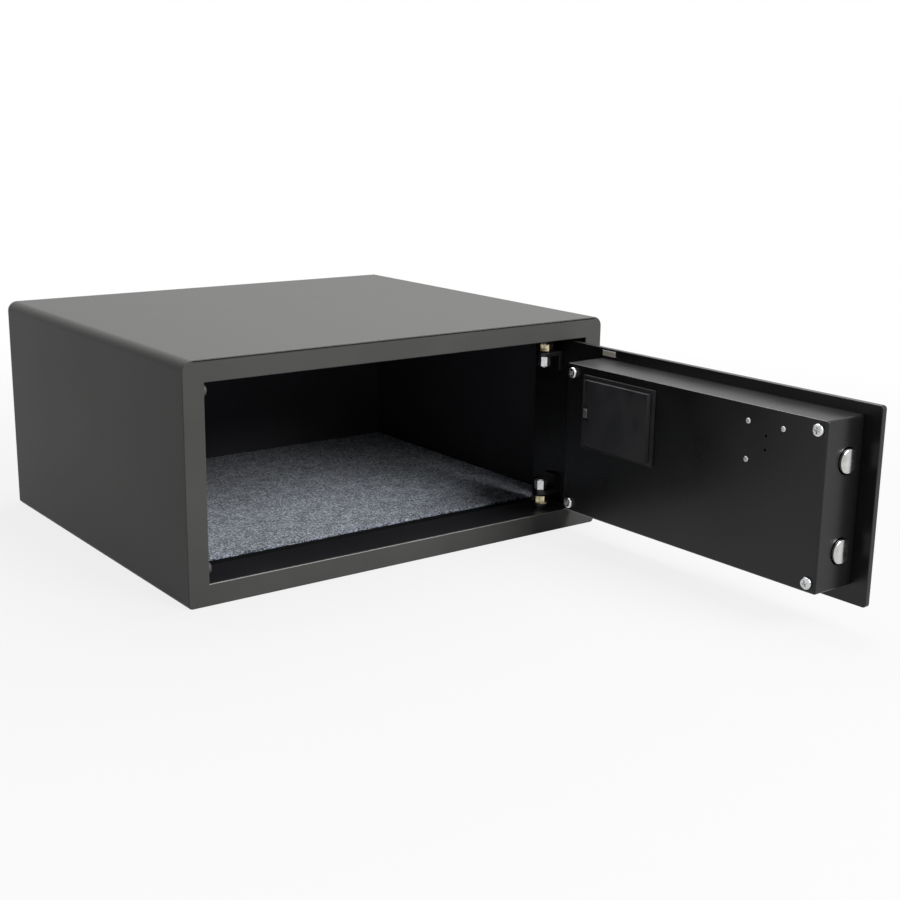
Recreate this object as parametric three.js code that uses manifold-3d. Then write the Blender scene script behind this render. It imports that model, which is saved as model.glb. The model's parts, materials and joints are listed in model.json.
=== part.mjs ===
// Steel room safe with an electronic lock, drawn with its door standing open.
// X runs along the front to the right, Y runs from the front to the back, Z is up.
// The origin is the middle of the base's underside. All sizes are millimetres.

import * as THREE from 'three';
import { mergeVertices } from 'three/addons/utils/BufferGeometryUtils.js';
import Module from 'manifold-3d';

const wasm = await Module();
wasm.setup();

// Body
const BODY_WIDTH = 430;
const BODY_DEPTH = 370;
const BODY_HEIGHT = 200;
const BODY_SHEET = 2;
const TOP_EDGE_RADIUS = 9;
const FRAME_SHEET = 2;
const FRAME_BORDER = 18.5;
const RAIL_DEPTH = 40;
const RAIL_SHEET = 2;
const STRIKE_HOLE_MARGIN = 1.5;
const ANCHOR_HOLE_RADIUS = 5;
const ANCHOR_SIDE_INSET = 75;
const ANCHOR_END_INSET = 95;

// Raised floor and carpet
const FLOOR_TOP = 13.5;
const FLOOR_SHEET = 1.5;
const FLOOR_SIDE_GAP = 1;
const RUNNER_WIDTH = 20;
const RUNNER_SHEET = 1.5;
const RUNNER_SIDE_INSET = 35;
const RUNNER_END_INSET = 4;
const CARPET_THICKNESS = 3;
const CARPET_SETBACK = 63;
const CARPET_EDGE_GAP = 1.5;

// Door plate and hinges
const OPEN_ANGLE = 91;
const DOOR_GAP = 2;
const DOOR_THICKNESS = 5;
const DOOR_CORNER_RADIUS = 3;
const HINGE_MARGIN = 30;
const PIVOT_SETBACK = 16;
const PIN_RADIUS = 3;
const PIN_HEAD_FLATS = 10;
const PIN_HEAD_HEIGHT = 10;
const PIN_THREAD = 5;
const PIN_CHAMFER = 1;
const WASHER_RADIUS = 8;
const WASHER_THICKNESS = 1.5;
const BUSH_FLATS = 14;
const BUSH_HEIGHT = 11;
const ARM_THICKNESS = 4;
const ARM_WIDTH = 16;
const ARM_LEG_LENGTH = 18;
const STOP_RADIUS = 5;
const STOP_REACH = 5;
const STOP_NOSE = 1.5;
const STOP_END_INSET = 7.5;
const STOP_LOWER_EXTRA = 3;

// Lock cover on the inside of the door
const COVER_SHEET = 1.2;
const COVER_DEPTH = 43;
const COVER_HINGE_OFFSET = 61.5;
const COVER_FREE_MARGIN = 15.5;
const COVER_TOP_MARGIN = 9;
const COVER_BOTTOM_MARGIN = 15;
const COVER_SCREW_INSET = 8;
const COVER_SCREW_RADIUS = 2;
const COVER_SCREW_LENGTH = 9;
const COVER_SCREW_HEAD_RADIUS = 4.5;
const COVER_SCREW_HEAD_HEIGHT = 2.6;
const COVER_SCREW_CROWN = 0.9;
const CROSS_SLOT_WIDTH = 1.1;
const CROSS_SLOT_LENGTH = 4.6;
const CROSS_SLOT_DEPTH = 1.3;
const POST_RADIUS = 4;
const POST_BORE_DEPTH = 12;
const LABEL_WIDTH = 15.5;
const LABEL_HEIGHT = 4.8;
const LABEL_THICKNESS = 0.5;
const LABEL_TOP_INSET = 2;

// Battery box
const BATTERY_FRAME_WIDTH = 85;
const BATTERY_FRAME_HEIGHT = 65;
const BATTERY_FRAME_HINGE_INSET = 23.5;
const BATTERY_FRAME_TOP_INSET = 7;
const BATTERY_FRAME_LIP = 1.5;
const BATTERY_RIM_WIDTH = 1.6;
const BATTERY_RIM_HEIGHT = 1;
const TRAY_FLANGE = 2.5;
const TRAY_WALL = 1.5;
const CELL_RADIUS = 7;
const CELL_LENGTH = 49;
const CELL_NUB_RADIUS = 2.6;
const CELL_NUB_HEIGHT = 1.3;
const CELL_COUNT = 4;
const CELL_GAP = 0.4;
const CONTACT_THICKNESS = 0.5;
const CONTACT_SPRING_RADIUS = 4;
const LID_RIM_GAP = 1.7;
const LID_LATCH_GAP = 4.5;
const LID_HEIGHT = 5;
const LID_WALL = 1.5;
const LATCH_NOTCH_WIDTH = 10;
const LATCH_NOTCH_DEPTH = 2.2;
const LATCH_TAB_WIDTH = 7;
const LATCH_TAB_FROM_BACK = 0.5;
const LATCH_TAB_RISE = 3;

// Bolt work
const BOLT_RADIUS = 10;
const BOLT_FLAT_OFFSET = 7;
const BOLT_AXIS_INSET = 1;
const BOLT_SPACING = 71;
const BOLT_MID_DROP = 1.5;
const BOLT_PROUD = 3;
const BOLT_LENGTH = 56.5;
const BOLT_NOSE = 2;
const BOLT_TRAVEL = 23;
const BOLT_HOLE_CLEARANCE = 0.9;
const CARRIAGE_THICKNESS = 5;
const CARRIAGE_WIDTH = 14;
const CARRIAGE_OVERHANG = 4;
const GUIDE_CLEARANCE = 3;
const GUIDE_SHEET = 2;
const GUIDE_FOOT = 13;
const GUIDE_HEEL = 4;

// Gear drive
const GEAR_MODULE = 1.25;
const DEDENDUM = 1.25 * GEAR_MODULE;
const PINION_TEETH = 12;
const PINION_SETBACK = 22.7;
const PRESSURE_ANGLE = 20;
const BACKLASH = 0.5;
const GEAR_WIDTH = 6;
const RACK_HEIGHT = 7.5;
const RACK_DROP = 1.5;
const RACK_SPARE_TEETH = 2.5;
const SHAFT_RADIUS = 2;
const SHAFT_IN_GEARBOX = 5;
const SHAFT_END = 1.5;
const GEARBOX_WIDTH = 28;
const GEARBOX_HEIGHT = 36;
const GEARBOX_BELOW_SHAFT = 11;
const GEARBOX_DEPTH = 12;
const MOTOR_RADIUS = 9.5;
const MOTOR_LENGTH = 24;
const MOTOR_FLAT_OFFSET = 7.5;
const MOTOR_CAP_RADIUS = 4;
const MOTOR_CAP_HEIGHT = 2;
const GEARBOX_FOOT_OVERHANG = 5;

// Emergency lock
const LOCK_SETBACK = 29.7;
const LOCK_DROP = 22.5;
const LOCK_BODY_RADIUS = 9;
const LOCK_BODY_INSIDE = 9.5;
const LOCK_NUT_RADIUS = 12;
const LOCK_NUT_THICKNESS = 3;
const PLUG_RADIUS = 6;
const PLUG_PROUD = 0.6;
const KEYWAY_WIDTH = 1.6;
const KEYWAY_HEIGHT = 7.5;
const KEYWAY_DEPTH = 18;
const CAM_LENGTH = 22;
const CAM_WIDTH = 8;
const CAM_THICKNESS = 2;
const CAM_STUB_RADIUS = 3;
const PEG_DROP = 16.5;
const PEG_RADIUS = 2.5;
const PEG_ARM_HEIGHT = 8;
const PEG_ARM_THICKNESS = 4;
const LOCK_LID_RADIUS = 14;
const LOCK_LID_THICKNESS = 2;
const LOCK_LID_PIN_RISE = 18;
const LOCK_LID_EAR_RADIUS = 5;
const LOCK_LID_PIN_RADIUS = 1.5;
const LOCK_LID_PIN_HEAD_RADIUS = 3;
const LOCK_LID_PIN_HEAD_HEIGHT = 1;

// Control board on the cover
const RIVET_FREE_INSET = 40.5;
const RIVET_TOP_INSET = 13.5;
const RIVET_PITCH_ALONG = 34.2;
const RIVET_PITCH_UP = 30.6;
const RIVET_RADIUS = 1.4;
const SPACER_LENGTH = 5;
const SPACER_RADIUS = 3;
const BOARD_EDGE = 6;
const BOARD_THICKNESS = 1.6;
const PINHOLE_FREE_INSET = 56.8;
const PINHOLE_TOP_INSET = 22.2;
const PINHOLE_PITCH = 11.2;
const PINHOLE_RADIUS = 1.1;
const SWITCH_SIDE = 6;
const SWITCH_HEIGHT = 2.6;
const RESET_RADIUS = 1.6;
const RESET_PROUD = 1.5;
const RESET_TRAVEL = 0.5;
const RESET_WELL_FLOOR = 0.5;

// Keypad unit on the outside of the door
const KEYPAD_WIDTH = 150;
const KEYPAD_HEIGHT = 90;
const KEYPAD_DEPTH = 11;
const KEYPAD_CORNER_RADIUS = 8;
const KEYPAD_CHAMFER = 2;
const KEYPAD_FREE_SETBACK = 36.5;
const KEY_COLUMNS = 3;
const KEY_ROWS = 4;
const KEY_WIDTH = 16;
const KEY_HEIGHT = 13;
const KEY_CORNER_RADIUS = 2.5;
const KEY_CHAMFER = 0.6;
const KEY_COLUMN_PITCH = 21;
const KEY_ROW_PITCH = 19;
const KEY_HINGE_INSET = 24;
const KEY_PROUD = 1.6;
const KEY_TRAVEL = 1;
const KEY_CLEARANCE = 0.5;
const BOARD_POCKET_INSET = 9;
const WINDOW_WIDTH = 52;
const WINDOW_HEIGHT = 24;
const WINDOW_THICKNESS = 2;
const WINDOW_FREE_INSET = 12;
const WINDOW_TOP_INSET = 11;
const WINDOW_CORNER_RADIUS = 2;
const KEYPAD_STUD_INSET = 5;
const KEYPAD_STUD_RADIUS = 1.5;
const KEYPAD_STUD_TAIL = 4;
const CABLE_HOLE_RADIUS = 7;

// Clearances
const SEAT_GAP = 0.3;
const RUN_GAP = 0.35;
const HOLE_GAP = 0.4;

// Places that follow from the sizes above
const frontFace = -BODY_DEPTH / 2;
const frameBack = frontFace + FRAME_SHEET;
const backFace = BODY_DEPTH / 2;
const innerHalf = BODY_WIDTH / 2 - BODY_SHEET;
const openingHalf = BODY_WIDTH / 2 - FRAME_BORDER;
const openingTop = BODY_HEIGHT - FRAME_BORDER;
const openingBottom = FRAME_BORDER;
const railBack = frameBack + RAIL_DEPTH;
const pivotX = openingHalf - DOOR_GAP - HINGE_MARGIN;
const pivotY = frontFace + DOOR_THICKNESS + PIVOT_SETBACK;

// Door places: u runs from the pivot to the free edge, w runs outwards, both seen from the pivot
const doorHinge = -HINGE_MARGIN;
const doorFree = doorHinge + 2 * (openingHalf - DOOR_GAP);
const doorTop = openingTop - DOOR_GAP;
const doorBottom = openingBottom + DOOR_GAP;
const plateIn = PIVOT_SETBACK;
const plateOut = plateIn + DOOR_THICKNESS;
const plateSeat = plateIn - SEAT_GAP;
const coverHinge = COVER_HINGE_OFFSET;
const coverFree = doorFree - COVER_FREE_MARGIN;
const coverTop = doorTop - COVER_TOP_MARGIN;
const coverBottom = doorBottom + COVER_BOTTOM_MARGIN;
const coverFace = plateIn - COVER_DEPTH;
const coverInside = coverFace + COVER_SHEET;
const boltMid = (coverTop + coverBottom) / 2 - BOLT_MID_DROP;
const boltHeights = [boltMid + BOLT_SPACING / 2, boltMid - BOLT_SPACING / 2];
const boltAxis = -BOLT_AXIS_INSET;
const boltTip = coverFree + BOLT_PROUD;
const boltTail = boltTip - BOLT_LENGTH;
const carriageFront = boltTail - SEAT_GAP;
const carriageBack = carriageFront - CARRIAGE_THICKNESS;
const pinionU = carriageBack - PINION_SETBACK;
const pitchRadius = GEAR_MODULE * PINION_TEETH / 2;
const toothPitch = Math.PI * GEAR_MODULE;
const pitchLine = boltMid - RACK_DROP;
const pinionZ = pitchLine + pitchRadius;
const rackIn = boltAxis - GEAR_WIDTH;
const lockU = carriageBack - LOCK_SETBACK;
const lockZ = boltMid - LOCK_DROP;
const keypadFree = coverFree - KEYPAD_FREE_SETBACK;
const keypadHinge = keypadFree - KEYPAD_WIDTH;
const keypadMid = (doorTop + doorBottom) / 2;
const keypadBack = plateOut + SEAT_GAP;
const keypadFace = keypadBack + KEYPAD_DEPTH;

// A box between two corners
function block(low, high) {
  const box = new THREE.BoxGeometry(high[0] - low[0], high[1] - low[1], high[2] - low[2]);
  return box.translate((high[0] + low[0]) / 2, (high[1] + low[1]) / 2, (high[2] + low[2]) / 2);
}

// Axis letters to the matrix that carries a drawing in the other two axes along that axis
const lay = {
  x: (start) => new THREE.Matrix4().set(0, 0, 1, start, 1, 0, 0, 0, 0, 1, 0, 0, 0, 0, 0, 1),
  y: (start, end) => new THREE.Matrix4().set(1, 0, 0, 0, 0, 0, -1, end, 0, 1, 0, 0, 0, 0, 0, 1),
  z: (start) => new THREE.Matrix4().set(1, 0, 0, 0, 0, 1, 0, 0, 0, 0, 1, start, 0, 0, 0, 1),
};

// A flat outline carried along an axis; its two drawing axes are the other two, in X, Y, Z order
function slab(outline, axis, start, end) {
  const settings = { depth: end - start, bevelEnabled: false, curveSegments: 6 };
  const solid = new THREE.ExtrudeGeometry(outline, settings);
  return solid.applyMatrix4(lay[axis](start, end));
}

function ringOutline(radius, sides, across, up, turn = 0) {
  const outline = new THREE.Shape();
  for (let i = 0; i < sides; i += 1) {
    const angle = turn + 2 * Math.PI * i / sides;
    const x = across + radius * Math.cos(angle);
    const y = up + radius * Math.sin(angle);
    if (i === 0) outline.moveTo(x, y);
    else outline.lineTo(x, y);
  }
  outline.closePath();
  return outline;
}

function rod(radius, axis, start, end, centre, sides = 24) {
  return slab(ringOutline(radius, sides, centre[0], centre[1]), axis, start, end);
}

// A hexagonal bar, given across its flats
function hexBar(flats, axis, start, end, centre) {
  return slab(ringOutline(flats / Math.sqrt(3), 6, centre[0], centre[1]), axis, start, end);
}

// A rectangle with one radius on all its corners
function panelOutline(x0, y0, x1, y1, radius) {
  const outline = new THREE.Shape();
  const quarter = Math.PI / 2;
  outline.moveTo(x0 + radius, y0);
  outline.lineTo(x1 - radius, y0);
  outline.absarc(x1 - radius, y0 + radius, radius, -quarter, 0);
  outline.lineTo(x1, y1 - radius);
  outline.absarc(x1 - radius, y1 - radius, radius, 0, quarter);
  outline.lineTo(x0 + radius, y1);
  outline.absarc(x0 + radius, y1 - radius, radius, quarter, 2 * quarter);
  outline.lineTo(x0, y0 + radius);
  outline.absarc(x0 + radius, y0 + radius, radius, 2 * quarter, 3 * quarter);
  return outline;
}

function polygon(points) {
  return new THREE.Shape(points.map(([x, y]) => new THREE.Vector2(x, y)));
}

function solidOf(geometry) {
  const bare = geometry.clone();
  bare.deleteAttribute('normal');
  bare.deleteAttribute('uv');
  const merged = mergeVertices(bare, 1e-4);
  return new wasm.Manifold(new wasm.Mesh({
    numProp: 3,
    vertProperties: new Float32Array(merged.attributes.position.array),
    triVerts: new Uint32Array(merged.index.array),
  }));
}

function geometryOf(solid) {
  const mesh = solid.getMesh();
  const geometry = new THREE.BufferGeometry();
  geometry.setAttribute('position', new THREE.BufferAttribute(new Float32Array(mesh.vertProperties), 3));
  geometry.setIndex(new THREE.BufferAttribute(new Uint32Array(mesh.triVerts), 1));
  geometry.computeVertexNormals();
  return geometry;
}

function join(...shapes) {
  return geometryOf(shapes.map(solidOf).reduce((whole, next) => whole.add(next)));
}

function cut(shape, ...tools) {
  return geometryOf(tools.map(solidOf).reduce((whole, tool) => whole.subtract(tool), solidOf(shape)));
}

// Finishes, each as colour, roughness and metalness
const FINISHES = {
  graphitePaint: [0x56565a, 0.62, 0.1],
  innerPaint: [0x17171a, 0.6, 0.1],
  doorPaint: [0x232324, 0.5, 0.1],
  carpet: [0x5f646d, 0.95, 0],
  chrome: [0xd8d8d6, 0.12, 1],
  zinc: [0xb9bab8, 0.35, 1],
  yellowZinc: [0xb7a375, 0.35, 1],
  steel: [0x8d8f92, 0.4, 1],
  brass: [0xb08d4a, 0.35, 1],
  blackPlastic: [0x242425, 0.45, 0],
  keyPlastic: [0x3a3b3d, 0.5, 0],
  windowPlastic: [0x14090a, 0.08, 0],
  greyRubber: [0x6a6a66, 0.8, 0],
  boardGreen: [0x1f4a2c, 0.5, 0],
  bareLabel: [0xb8b5ae, 0.45, 0.4],
  cellJacket: [0x3c4450, 0.4, 0.2],
};

function piece(name, geometry, finish) {
  const [color, roughness, metalness] = FINISHES[finish];
  const mesh = new THREE.Mesh(geometry, new THREE.MeshStandardMaterial({ color, roughness, metalness }));
  mesh.name = name;
  return mesh;
}

// Outline of the body's cross section, drawn in X and Z, with rounded top edges
function bodyOutline(half, bottom, top, radius) {
  const outline = new THREE.Shape();
  outline.moveTo(-half, bottom);
  outline.lineTo(half, bottom);
  outline.lineTo(half, top - radius);
  outline.absarc(half - radius, top - radius, radius, 0, Math.PI / 2);
  outline.lineTo(-half + radius, top);
  outline.absarc(-half + radius, top - radius, radius, Math.PI / 2, Math.PI);
  return outline;
}

const innerRadius = TOP_EDGE_RADIUS - BODY_SHEET;

function bodyWrap() {
  const outer = slab(bodyOutline(BODY_WIDTH / 2, 0, BODY_HEIGHT, TOP_EDGE_RADIUS), 'y', frameBack, backFace);
  const hollow = bodyOutline(innerHalf, -BODY_SHEET, BODY_HEIGHT - BODY_SHEET, innerRadius);
  return cut(outer, slab(hollow, 'y', frameBack - BODY_SHEET, backFace + BODY_SHEET));
}

const anchorPlaces = [-1, 1].flatMap((side) => [-1, 1].map((end) => [
  side * (BODY_WIDTH / 2 - ANCHOR_SIDE_INSET),
  end * (BODY_DEPTH / 2 - ANCHOR_END_INSET),
]));

function basePlate() {
  const sheet = block([-innerHalf, frameBack, 0], [innerHalf, backFace, BODY_SHEET]);
  const holes = anchorPlaces.map((at) => rod(ANCHOR_HOLE_RADIUS, 'z', -BODY_SHEET, 2 * BODY_SHEET, at, 20));
  return cut(sheet, ...holes);
}

function backPanel() {
  const outline = bodyOutline(innerHalf, BODY_SHEET, BODY_HEIGHT - BODY_SHEET, innerRadius);
  return slab(outline, 'y', backFace - BODY_SHEET, backFace);
}

function frontFrame() {
  const outer = slab(bodyOutline(BODY_WIDTH / 2, 0, BODY_HEIGHT, TOP_EDGE_RADIUS), 'y', frontFace, frameBack);
  const opening = block(
    [-openingHalf, frontFace - FRAME_SHEET, openingBottom],
    [openingHalf, frameBack + FRAME_SHEET, openingTop],
  );
  return cut(outer, opening);
}

const pinHoleRadius = PIN_RADIUS + SEAT_GAP;

// Angle section behind the frame, above or below the opening, that carries a hinge pin
function hingeRail(level, far, wall) {
  const leaf = [Math.min(level, level + far), Math.max(level, level + far)];
  const leg = [Math.min(level, wall), Math.max(level, wall)];
  const shelf = block([-innerHalf, frameBack, leaf[0]], [innerHalf, railBack, leaf[1]]);
  const webHalf = innerHalf - innerRadius;
  const web = block([-webHalf, railBack - RAIL_SHEET, leg[0]], [webHalf, railBack, leg[1]]);
  const hole = rod(pinHoleRadius, 'z', leaf[0] - RAIL_SHEET, leaf[1] + RAIL_SHEET, [pivotX, pivotY], 20);
  return cut(join(shelf, web), hole);
}

// Outline of a bolt, drawn in Y and Z or in w and z: a round with one flat towards the door's face
function boltOutline(radius, flat, across, up, flatSide) {
  const outline = new THREE.Shape();
  const start = Math.acos(flat / radius);
  const steps = 20;
  for (let i = 0; i <= steps; i += 1) {
    const angle = start + (2 * Math.PI - 2 * start) * i / steps;
    const x = across + flatSide * radius * Math.cos(angle);
    const y = up + radius * Math.sin(angle);
    if (i === 0) outline.moveTo(x, y);
    else outline.lineTo(x, y);
  }
  outline.closePath();
  return outline;
}

// Two round buffers on the strike side, just behind the closed door
function stopStuds() {
  const y = frontFace + DOOR_THICKNESS + SEAT_GAP + STOP_RADIUS;
  const heights = [openingTop - STOP_END_INSET, openingBottom + STOP_END_INSET + STOP_LOWER_EXTRA];
  const root = -openingHalf - RAIL_SHEET / 2;
  return heights.flatMap((height) => [
    rod(STOP_RADIUS, 'x', root, -openingHalf + STOP_REACH - STOP_NOSE, [y, height], 16),
    rod(STOP_RADIUS - STOP_NOSE, 'x', root, -openingHalf + STOP_REACH, [y, height], 16),
  ]);
}

// Angle section beside the opening whose holes take the bolts when the door is closed and locked
function strikeRail() {
  const face = -openingHalf;
  const leaf = block([face - RAIL_SHEET, frameBack, openingBottom], [face, railBack, openingTop]);
  const web = block([-innerHalf, railBack - RAIL_SHEET, openingBottom], [face, railBack, openingTop]);
  const half = BOLT_RADIUS + STRIKE_HOLE_MARGIN;
  const holes = boltHeights.map((height) => (
    rod(half, 'x', face - 2 * RAIL_SHEET, face + RAIL_SHEET, [pivotY - boltAxis, height], 20)));
  return cut(join(leaf, web, ...stopStuds()), ...holes);
}

// Raised floor on three welded channels, which keep it above the base and its fixing bolts
function floorPanel() {
  const half = innerHalf - FLOOR_SIDE_GAP;
  const front = railBack + SEAT_GAP;
  const back = backFace - BODY_SHEET - SEAT_GAP;
  const underside = FLOOR_TOP - FLOOR_SHEET;
  const side = innerHalf - RUNNER_SIDE_INSET;
  const channels = [-side, 0, side].map((x) => {
    const wide = RUNNER_WIDTH / 2;
    const clear = wide - RUNNER_SHEET;
    const outer = block(
      [x - wide, front + RUNNER_END_INSET, BODY_SHEET],
      [x + wide, back - RUNNER_END_INSET, FLOOR_TOP],
    );
    return cut(outer, block([x - clear, front, 0], [x + clear, back, underside - RUNNER_SHEET]));
  });
  return join(block([-half, front, underside], [half, back, FLOOR_TOP]), ...channels);
}

function carpetMat() {
  const half = innerHalf - CARPET_EDGE_GAP;
  return block(
    [-half, frontFace + CARPET_SETBACK, FLOOR_TOP + SEAT_GAP],
    [half, backFace - BODY_SHEET - CARPET_EDGE_GAP, FLOOR_TOP + SEAT_GAP + CARPET_THICKNESS],
  );
}

// Hinge stack at one end of the door, counted from the rail towards the middle of the opening
const pivot = [pivotX, pivotY];
const stackWasher = SEAT_GAP;
const stackBush = stackWasher + WASHER_THICKNESS;
const stackArm = stackBush + BUSH_HEIGHT + SEAT_GAP;
const stackHead = stackArm + ARM_THICKNESS + SEAT_GAP;
const stackEnd = stackHead + PIN_HEAD_HEIGHT;
const hingeEnds = [
  { name: 'top', level: openingTop, towards: -1 },
  { name: 'bottom', level: openingBottom, towards: 1 },
];

// Lower and upper heights of a stretch of the stack
function stretch(end, near, far) {
  const ends = [end.level + end.towards * near, end.level + end.towards * far];
  return [Math.min(...ends), Math.max(...ends)];
}

// Hinge screw: a tall hexagon head under the arm, a shank through the arm, bush and rail
function hingeScrew(end) {
  const head = stretch(end, stackHead, stackEnd - PIN_CHAMFER);
  const crown = stretch(end, stackEnd - 2 * PIN_CHAMFER, stackEnd);
  const shank = stretch(end, -RAIL_SHEET - PIN_THREAD, stackHead + 1);
  return join(
    hexBar(PIN_HEAD_FLATS, 'z', head[0], head[1], pivot),
    rod(PIN_HEAD_FLATS / 2 - PIN_CHAMFER, 'z', crown[0], crown[1], pivot, 20),
    rod(PIN_RADIUS, 'z', shank[0], shank[1], pivot, 20),
  );
}

// Hexagonal bush with a round flange against the rail
function hingeBush(end) {
  const flange = stretch(end, stackWasher, stackBush);
  const hex = stretch(end, stackBush - WASHER_THICKNESS / 2, stackBush + BUSH_HEIGHT);
  const bore = stretch(end, -RAIL_SHEET, stackArm + ARM_THICKNESS);
  return cut(
    join(
      rod(WASHER_RADIUS, 'z', flange[0], flange[1], pivot),
      hexBar(BUSH_FLATS, 'z', hex[0], hex[1], pivot),
    ),
    rod(pinHoleRadius, 'z', bore[0], bore[1], pivot, 20),
  );
}

// Bracket on the door that turns about a pin: a round-nosed leaf and a leg down the door plate
function hingeArm(end) {
  const half = ARM_WIDTH / 2;
  const nose = new THREE.Shape();
  nose.moveTo(half, 0);
  nose.lineTo(half, plateSeat);
  nose.lineTo(-half, plateSeat);
  nose.lineTo(-half, 0);
  nose.absarc(0, 0, half, Math.PI, 2 * Math.PI);
  const leaf = stretch(end, stackArm, stackArm + ARM_THICKNESS);
  const leg = stretch(end, stackArm, stackArm + ARM_LEG_LENGTH);
  const arm = join(
    slab(nose, 'z', leaf[0], leaf[1]),
    block([-half, plateSeat - ARM_THICKNESS, leg[0]], [half, plateSeat, leg[1]]),
  );
  return cut(arm, rod(PIN_RADIUS + RUN_GAP, 'z', leg[0] - 1, leg[1] + 1, [0, 0], 20));
}

const keypadStudPlaces = [keypadHinge + KEYPAD_STUD_INSET, keypadFree - KEYPAD_STUD_INSET].flatMap((u) => (
  [-1, 1].map((side) => [u, keypadMid + side * (KEYPAD_HEIGHT / 2 - KEYPAD_STUD_INSET)])));
const cableHolePlace = [keypadHinge + KEY_HINGE_INSET, keypadMid];

const coverScrewPlaces = [coverHinge + COVER_SCREW_INSET, coverFree - COVER_SCREW_INSET].flatMap((u) => (
  [coverBottom + COVER_SCREW_INSET, coverTop - COVER_SCREW_INSET].map((z) => [u, z])));

// Door plate with four welded posts, bored for the screws of the cover
function doorPlate() {
  const outline = panelOutline(doorHinge, doorBottom, doorFree, doorTop, DOOR_CORNER_RADIUS);
  const through = (radius, at, sides) => rod(radius, 'y', plateIn - 1, plateOut + 1, at, sides);
  const posts = coverScrewPlaces.map((at) => (
    rod(POST_RADIUS, 'y', coverInside + SEAT_GAP, plateIn + 1, at, 16)));
  const bores = coverScrewPlaces.map((at) => (
    rod(COVER_SCREW_RADIUS + SEAT_GAP, 'y', coverInside, coverInside + POST_BORE_DEPTH, at, 16)));
  return cut(
    join(slab(outline, 'y', plateIn, plateOut), ...posts),
    ...bores,
    through(LOCK_BODY_RADIUS + HOLE_GAP, [lockU, lockZ], 24),
    through(CABLE_HOLE_RADIUS, cableHolePlace, 20),
    ...keypadStudPlaces.map((at) => through(KEYPAD_STUD_RADIUS + HOLE_GAP, at, 12)),
  );
}

const rivetFreeU = coverFree - RIVET_FREE_INSET;
const rivetTopZ = coverTop - RIVET_TOP_INSET;
const rivetPlaces = [
  [rivetFreeU, rivetTopZ],
  [rivetFreeU - RIVET_PITCH_ALONG, rivetTopZ],
  [rivetFreeU - RIVET_PITCH_ALONG, rivetTopZ - RIVET_PITCH_UP],
];
const pinholeU = coverFree - PINHOLE_FREE_INSET;
const resetPlace = [pinholeU, coverTop - PINHOLE_TOP_INSET];
const lowerPinholePlace = [pinholeU, coverTop - PINHOLE_TOP_INSET - PINHOLE_PITCH];

const trayHinge = coverHinge + BATTERY_FRAME_HINGE_INSET;
const trayFree = trayHinge + BATTERY_FRAME_WIDTH;
const trayTop = coverTop - BATTERY_FRAME_TOP_INSET;
const trayBottom = trayTop - BATTERY_FRAME_HEIGHT;

function lockCover() {
  const open = plateSeat + 1;
  const shell = cut(
    block([coverHinge, coverFace, coverBottom], [coverFree, plateSeat, coverTop]),
    block(
      [coverHinge + COVER_SHEET, coverInside, coverBottom + COVER_SHEET],
      [coverFree - COVER_SHEET, open, coverTop - COVER_SHEET],
    ),
  );
  const through = (radius, at, sides) => rod(radius, 'y', coverFace - 1, coverInside + 1, at, sides);
  const window = block(
    [trayHinge + TRAY_FLANGE - SEAT_GAP, coverFace - 1, trayBottom + TRAY_FLANGE - SEAT_GAP],
    [trayFree - TRAY_FLANGE + SEAT_GAP, coverInside + 1, trayTop - TRAY_FLANGE + SEAT_GAP],
  );
  const radius = BOLT_RADIUS + BOLT_HOLE_CLEARANCE;
  const flat = BOLT_FLAT_OFFSET + BOLT_HOLE_CLEARANCE;
  return cut(
    shell,
    window,
    ...coverScrewPlaces.map((at) => through(COVER_SCREW_RADIUS + HOLE_GAP, at, 16)),
    ...rivetPlaces.map((at) => through(RIVET_RADIUS + SEAT_GAP, at, 12)),
    through(PINHOLE_RADIUS, resetPlace, 12),
    through(PINHOLE_RADIUS, lowerPinholePlace, 12),
    ...boltHeights.map((height) => (
      slab(boltOutline(radius, flat, boltAxis, height, 1), 'x', coverFree - 2 * COVER_SHEET, coverFree + 1))),
  );
}

// Pan-head screw with a cross recess, pointing into its post
function coverScrew([u, z]) {
  const seat = coverFace - SEAT_GAP;
  const top = seat - COVER_SCREW_HEAD_HEIGHT;
  const shoulder = top + COVER_SCREW_CROWN;
  const head = join(
    rod(COVER_SCREW_HEAD_RADIUS, 'y', shoulder, seat, [u, z], 20),
    rod(COVER_SCREW_HEAD_RADIUS - COVER_SCREW_CROWN, 'y', top, seat, [u, z], 20),
  );
  const shank = rod(COVER_SCREW_RADIUS, 'y', seat - COVER_SCREW_CROWN, seat + COVER_SCREW_LENGTH, [u, z], 16);
  const long = CROSS_SLOT_LENGTH / 2;
  const wide = CROSS_SLOT_WIDTH / 2;
  const bottom = top + CROSS_SLOT_DEPTH;
  return cut(
    join(head, shank),
    block([u - long, top - 1, z - wide], [u + long, bottom, z + wide]),
    block([u - wide, top - 1, z - long], [u + wide, bottom, z + long]),
  );
}

function blankLabel() {
  const top = doorTop - LABEL_TOP_INSET;
  return block(
    [coverHinge, plateSeat - LABEL_THICKNESS, top - LABEL_HEIGHT],
    [coverHinge + LABEL_WIDTH, plateSeat, top],
  );
}

// Tray that hangs in the cover's window by its rim
const trayFace = coverFace - SEAT_GAP;
const trayFloor = coverFace + TRAY_WALL + 2 * CELL_RADIUS + 2 * CELL_GAP;
const bayHinge = trayHinge + TRAY_FLANGE + TRAY_WALL;
const bayFree = trayFree - TRAY_FLANGE - TRAY_WALL;
const bayTop = trayTop - TRAY_FLANGE - TRAY_WALL;
const bayBottom = trayBottom + TRAY_FLANGE + TRAY_WALL;

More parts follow.
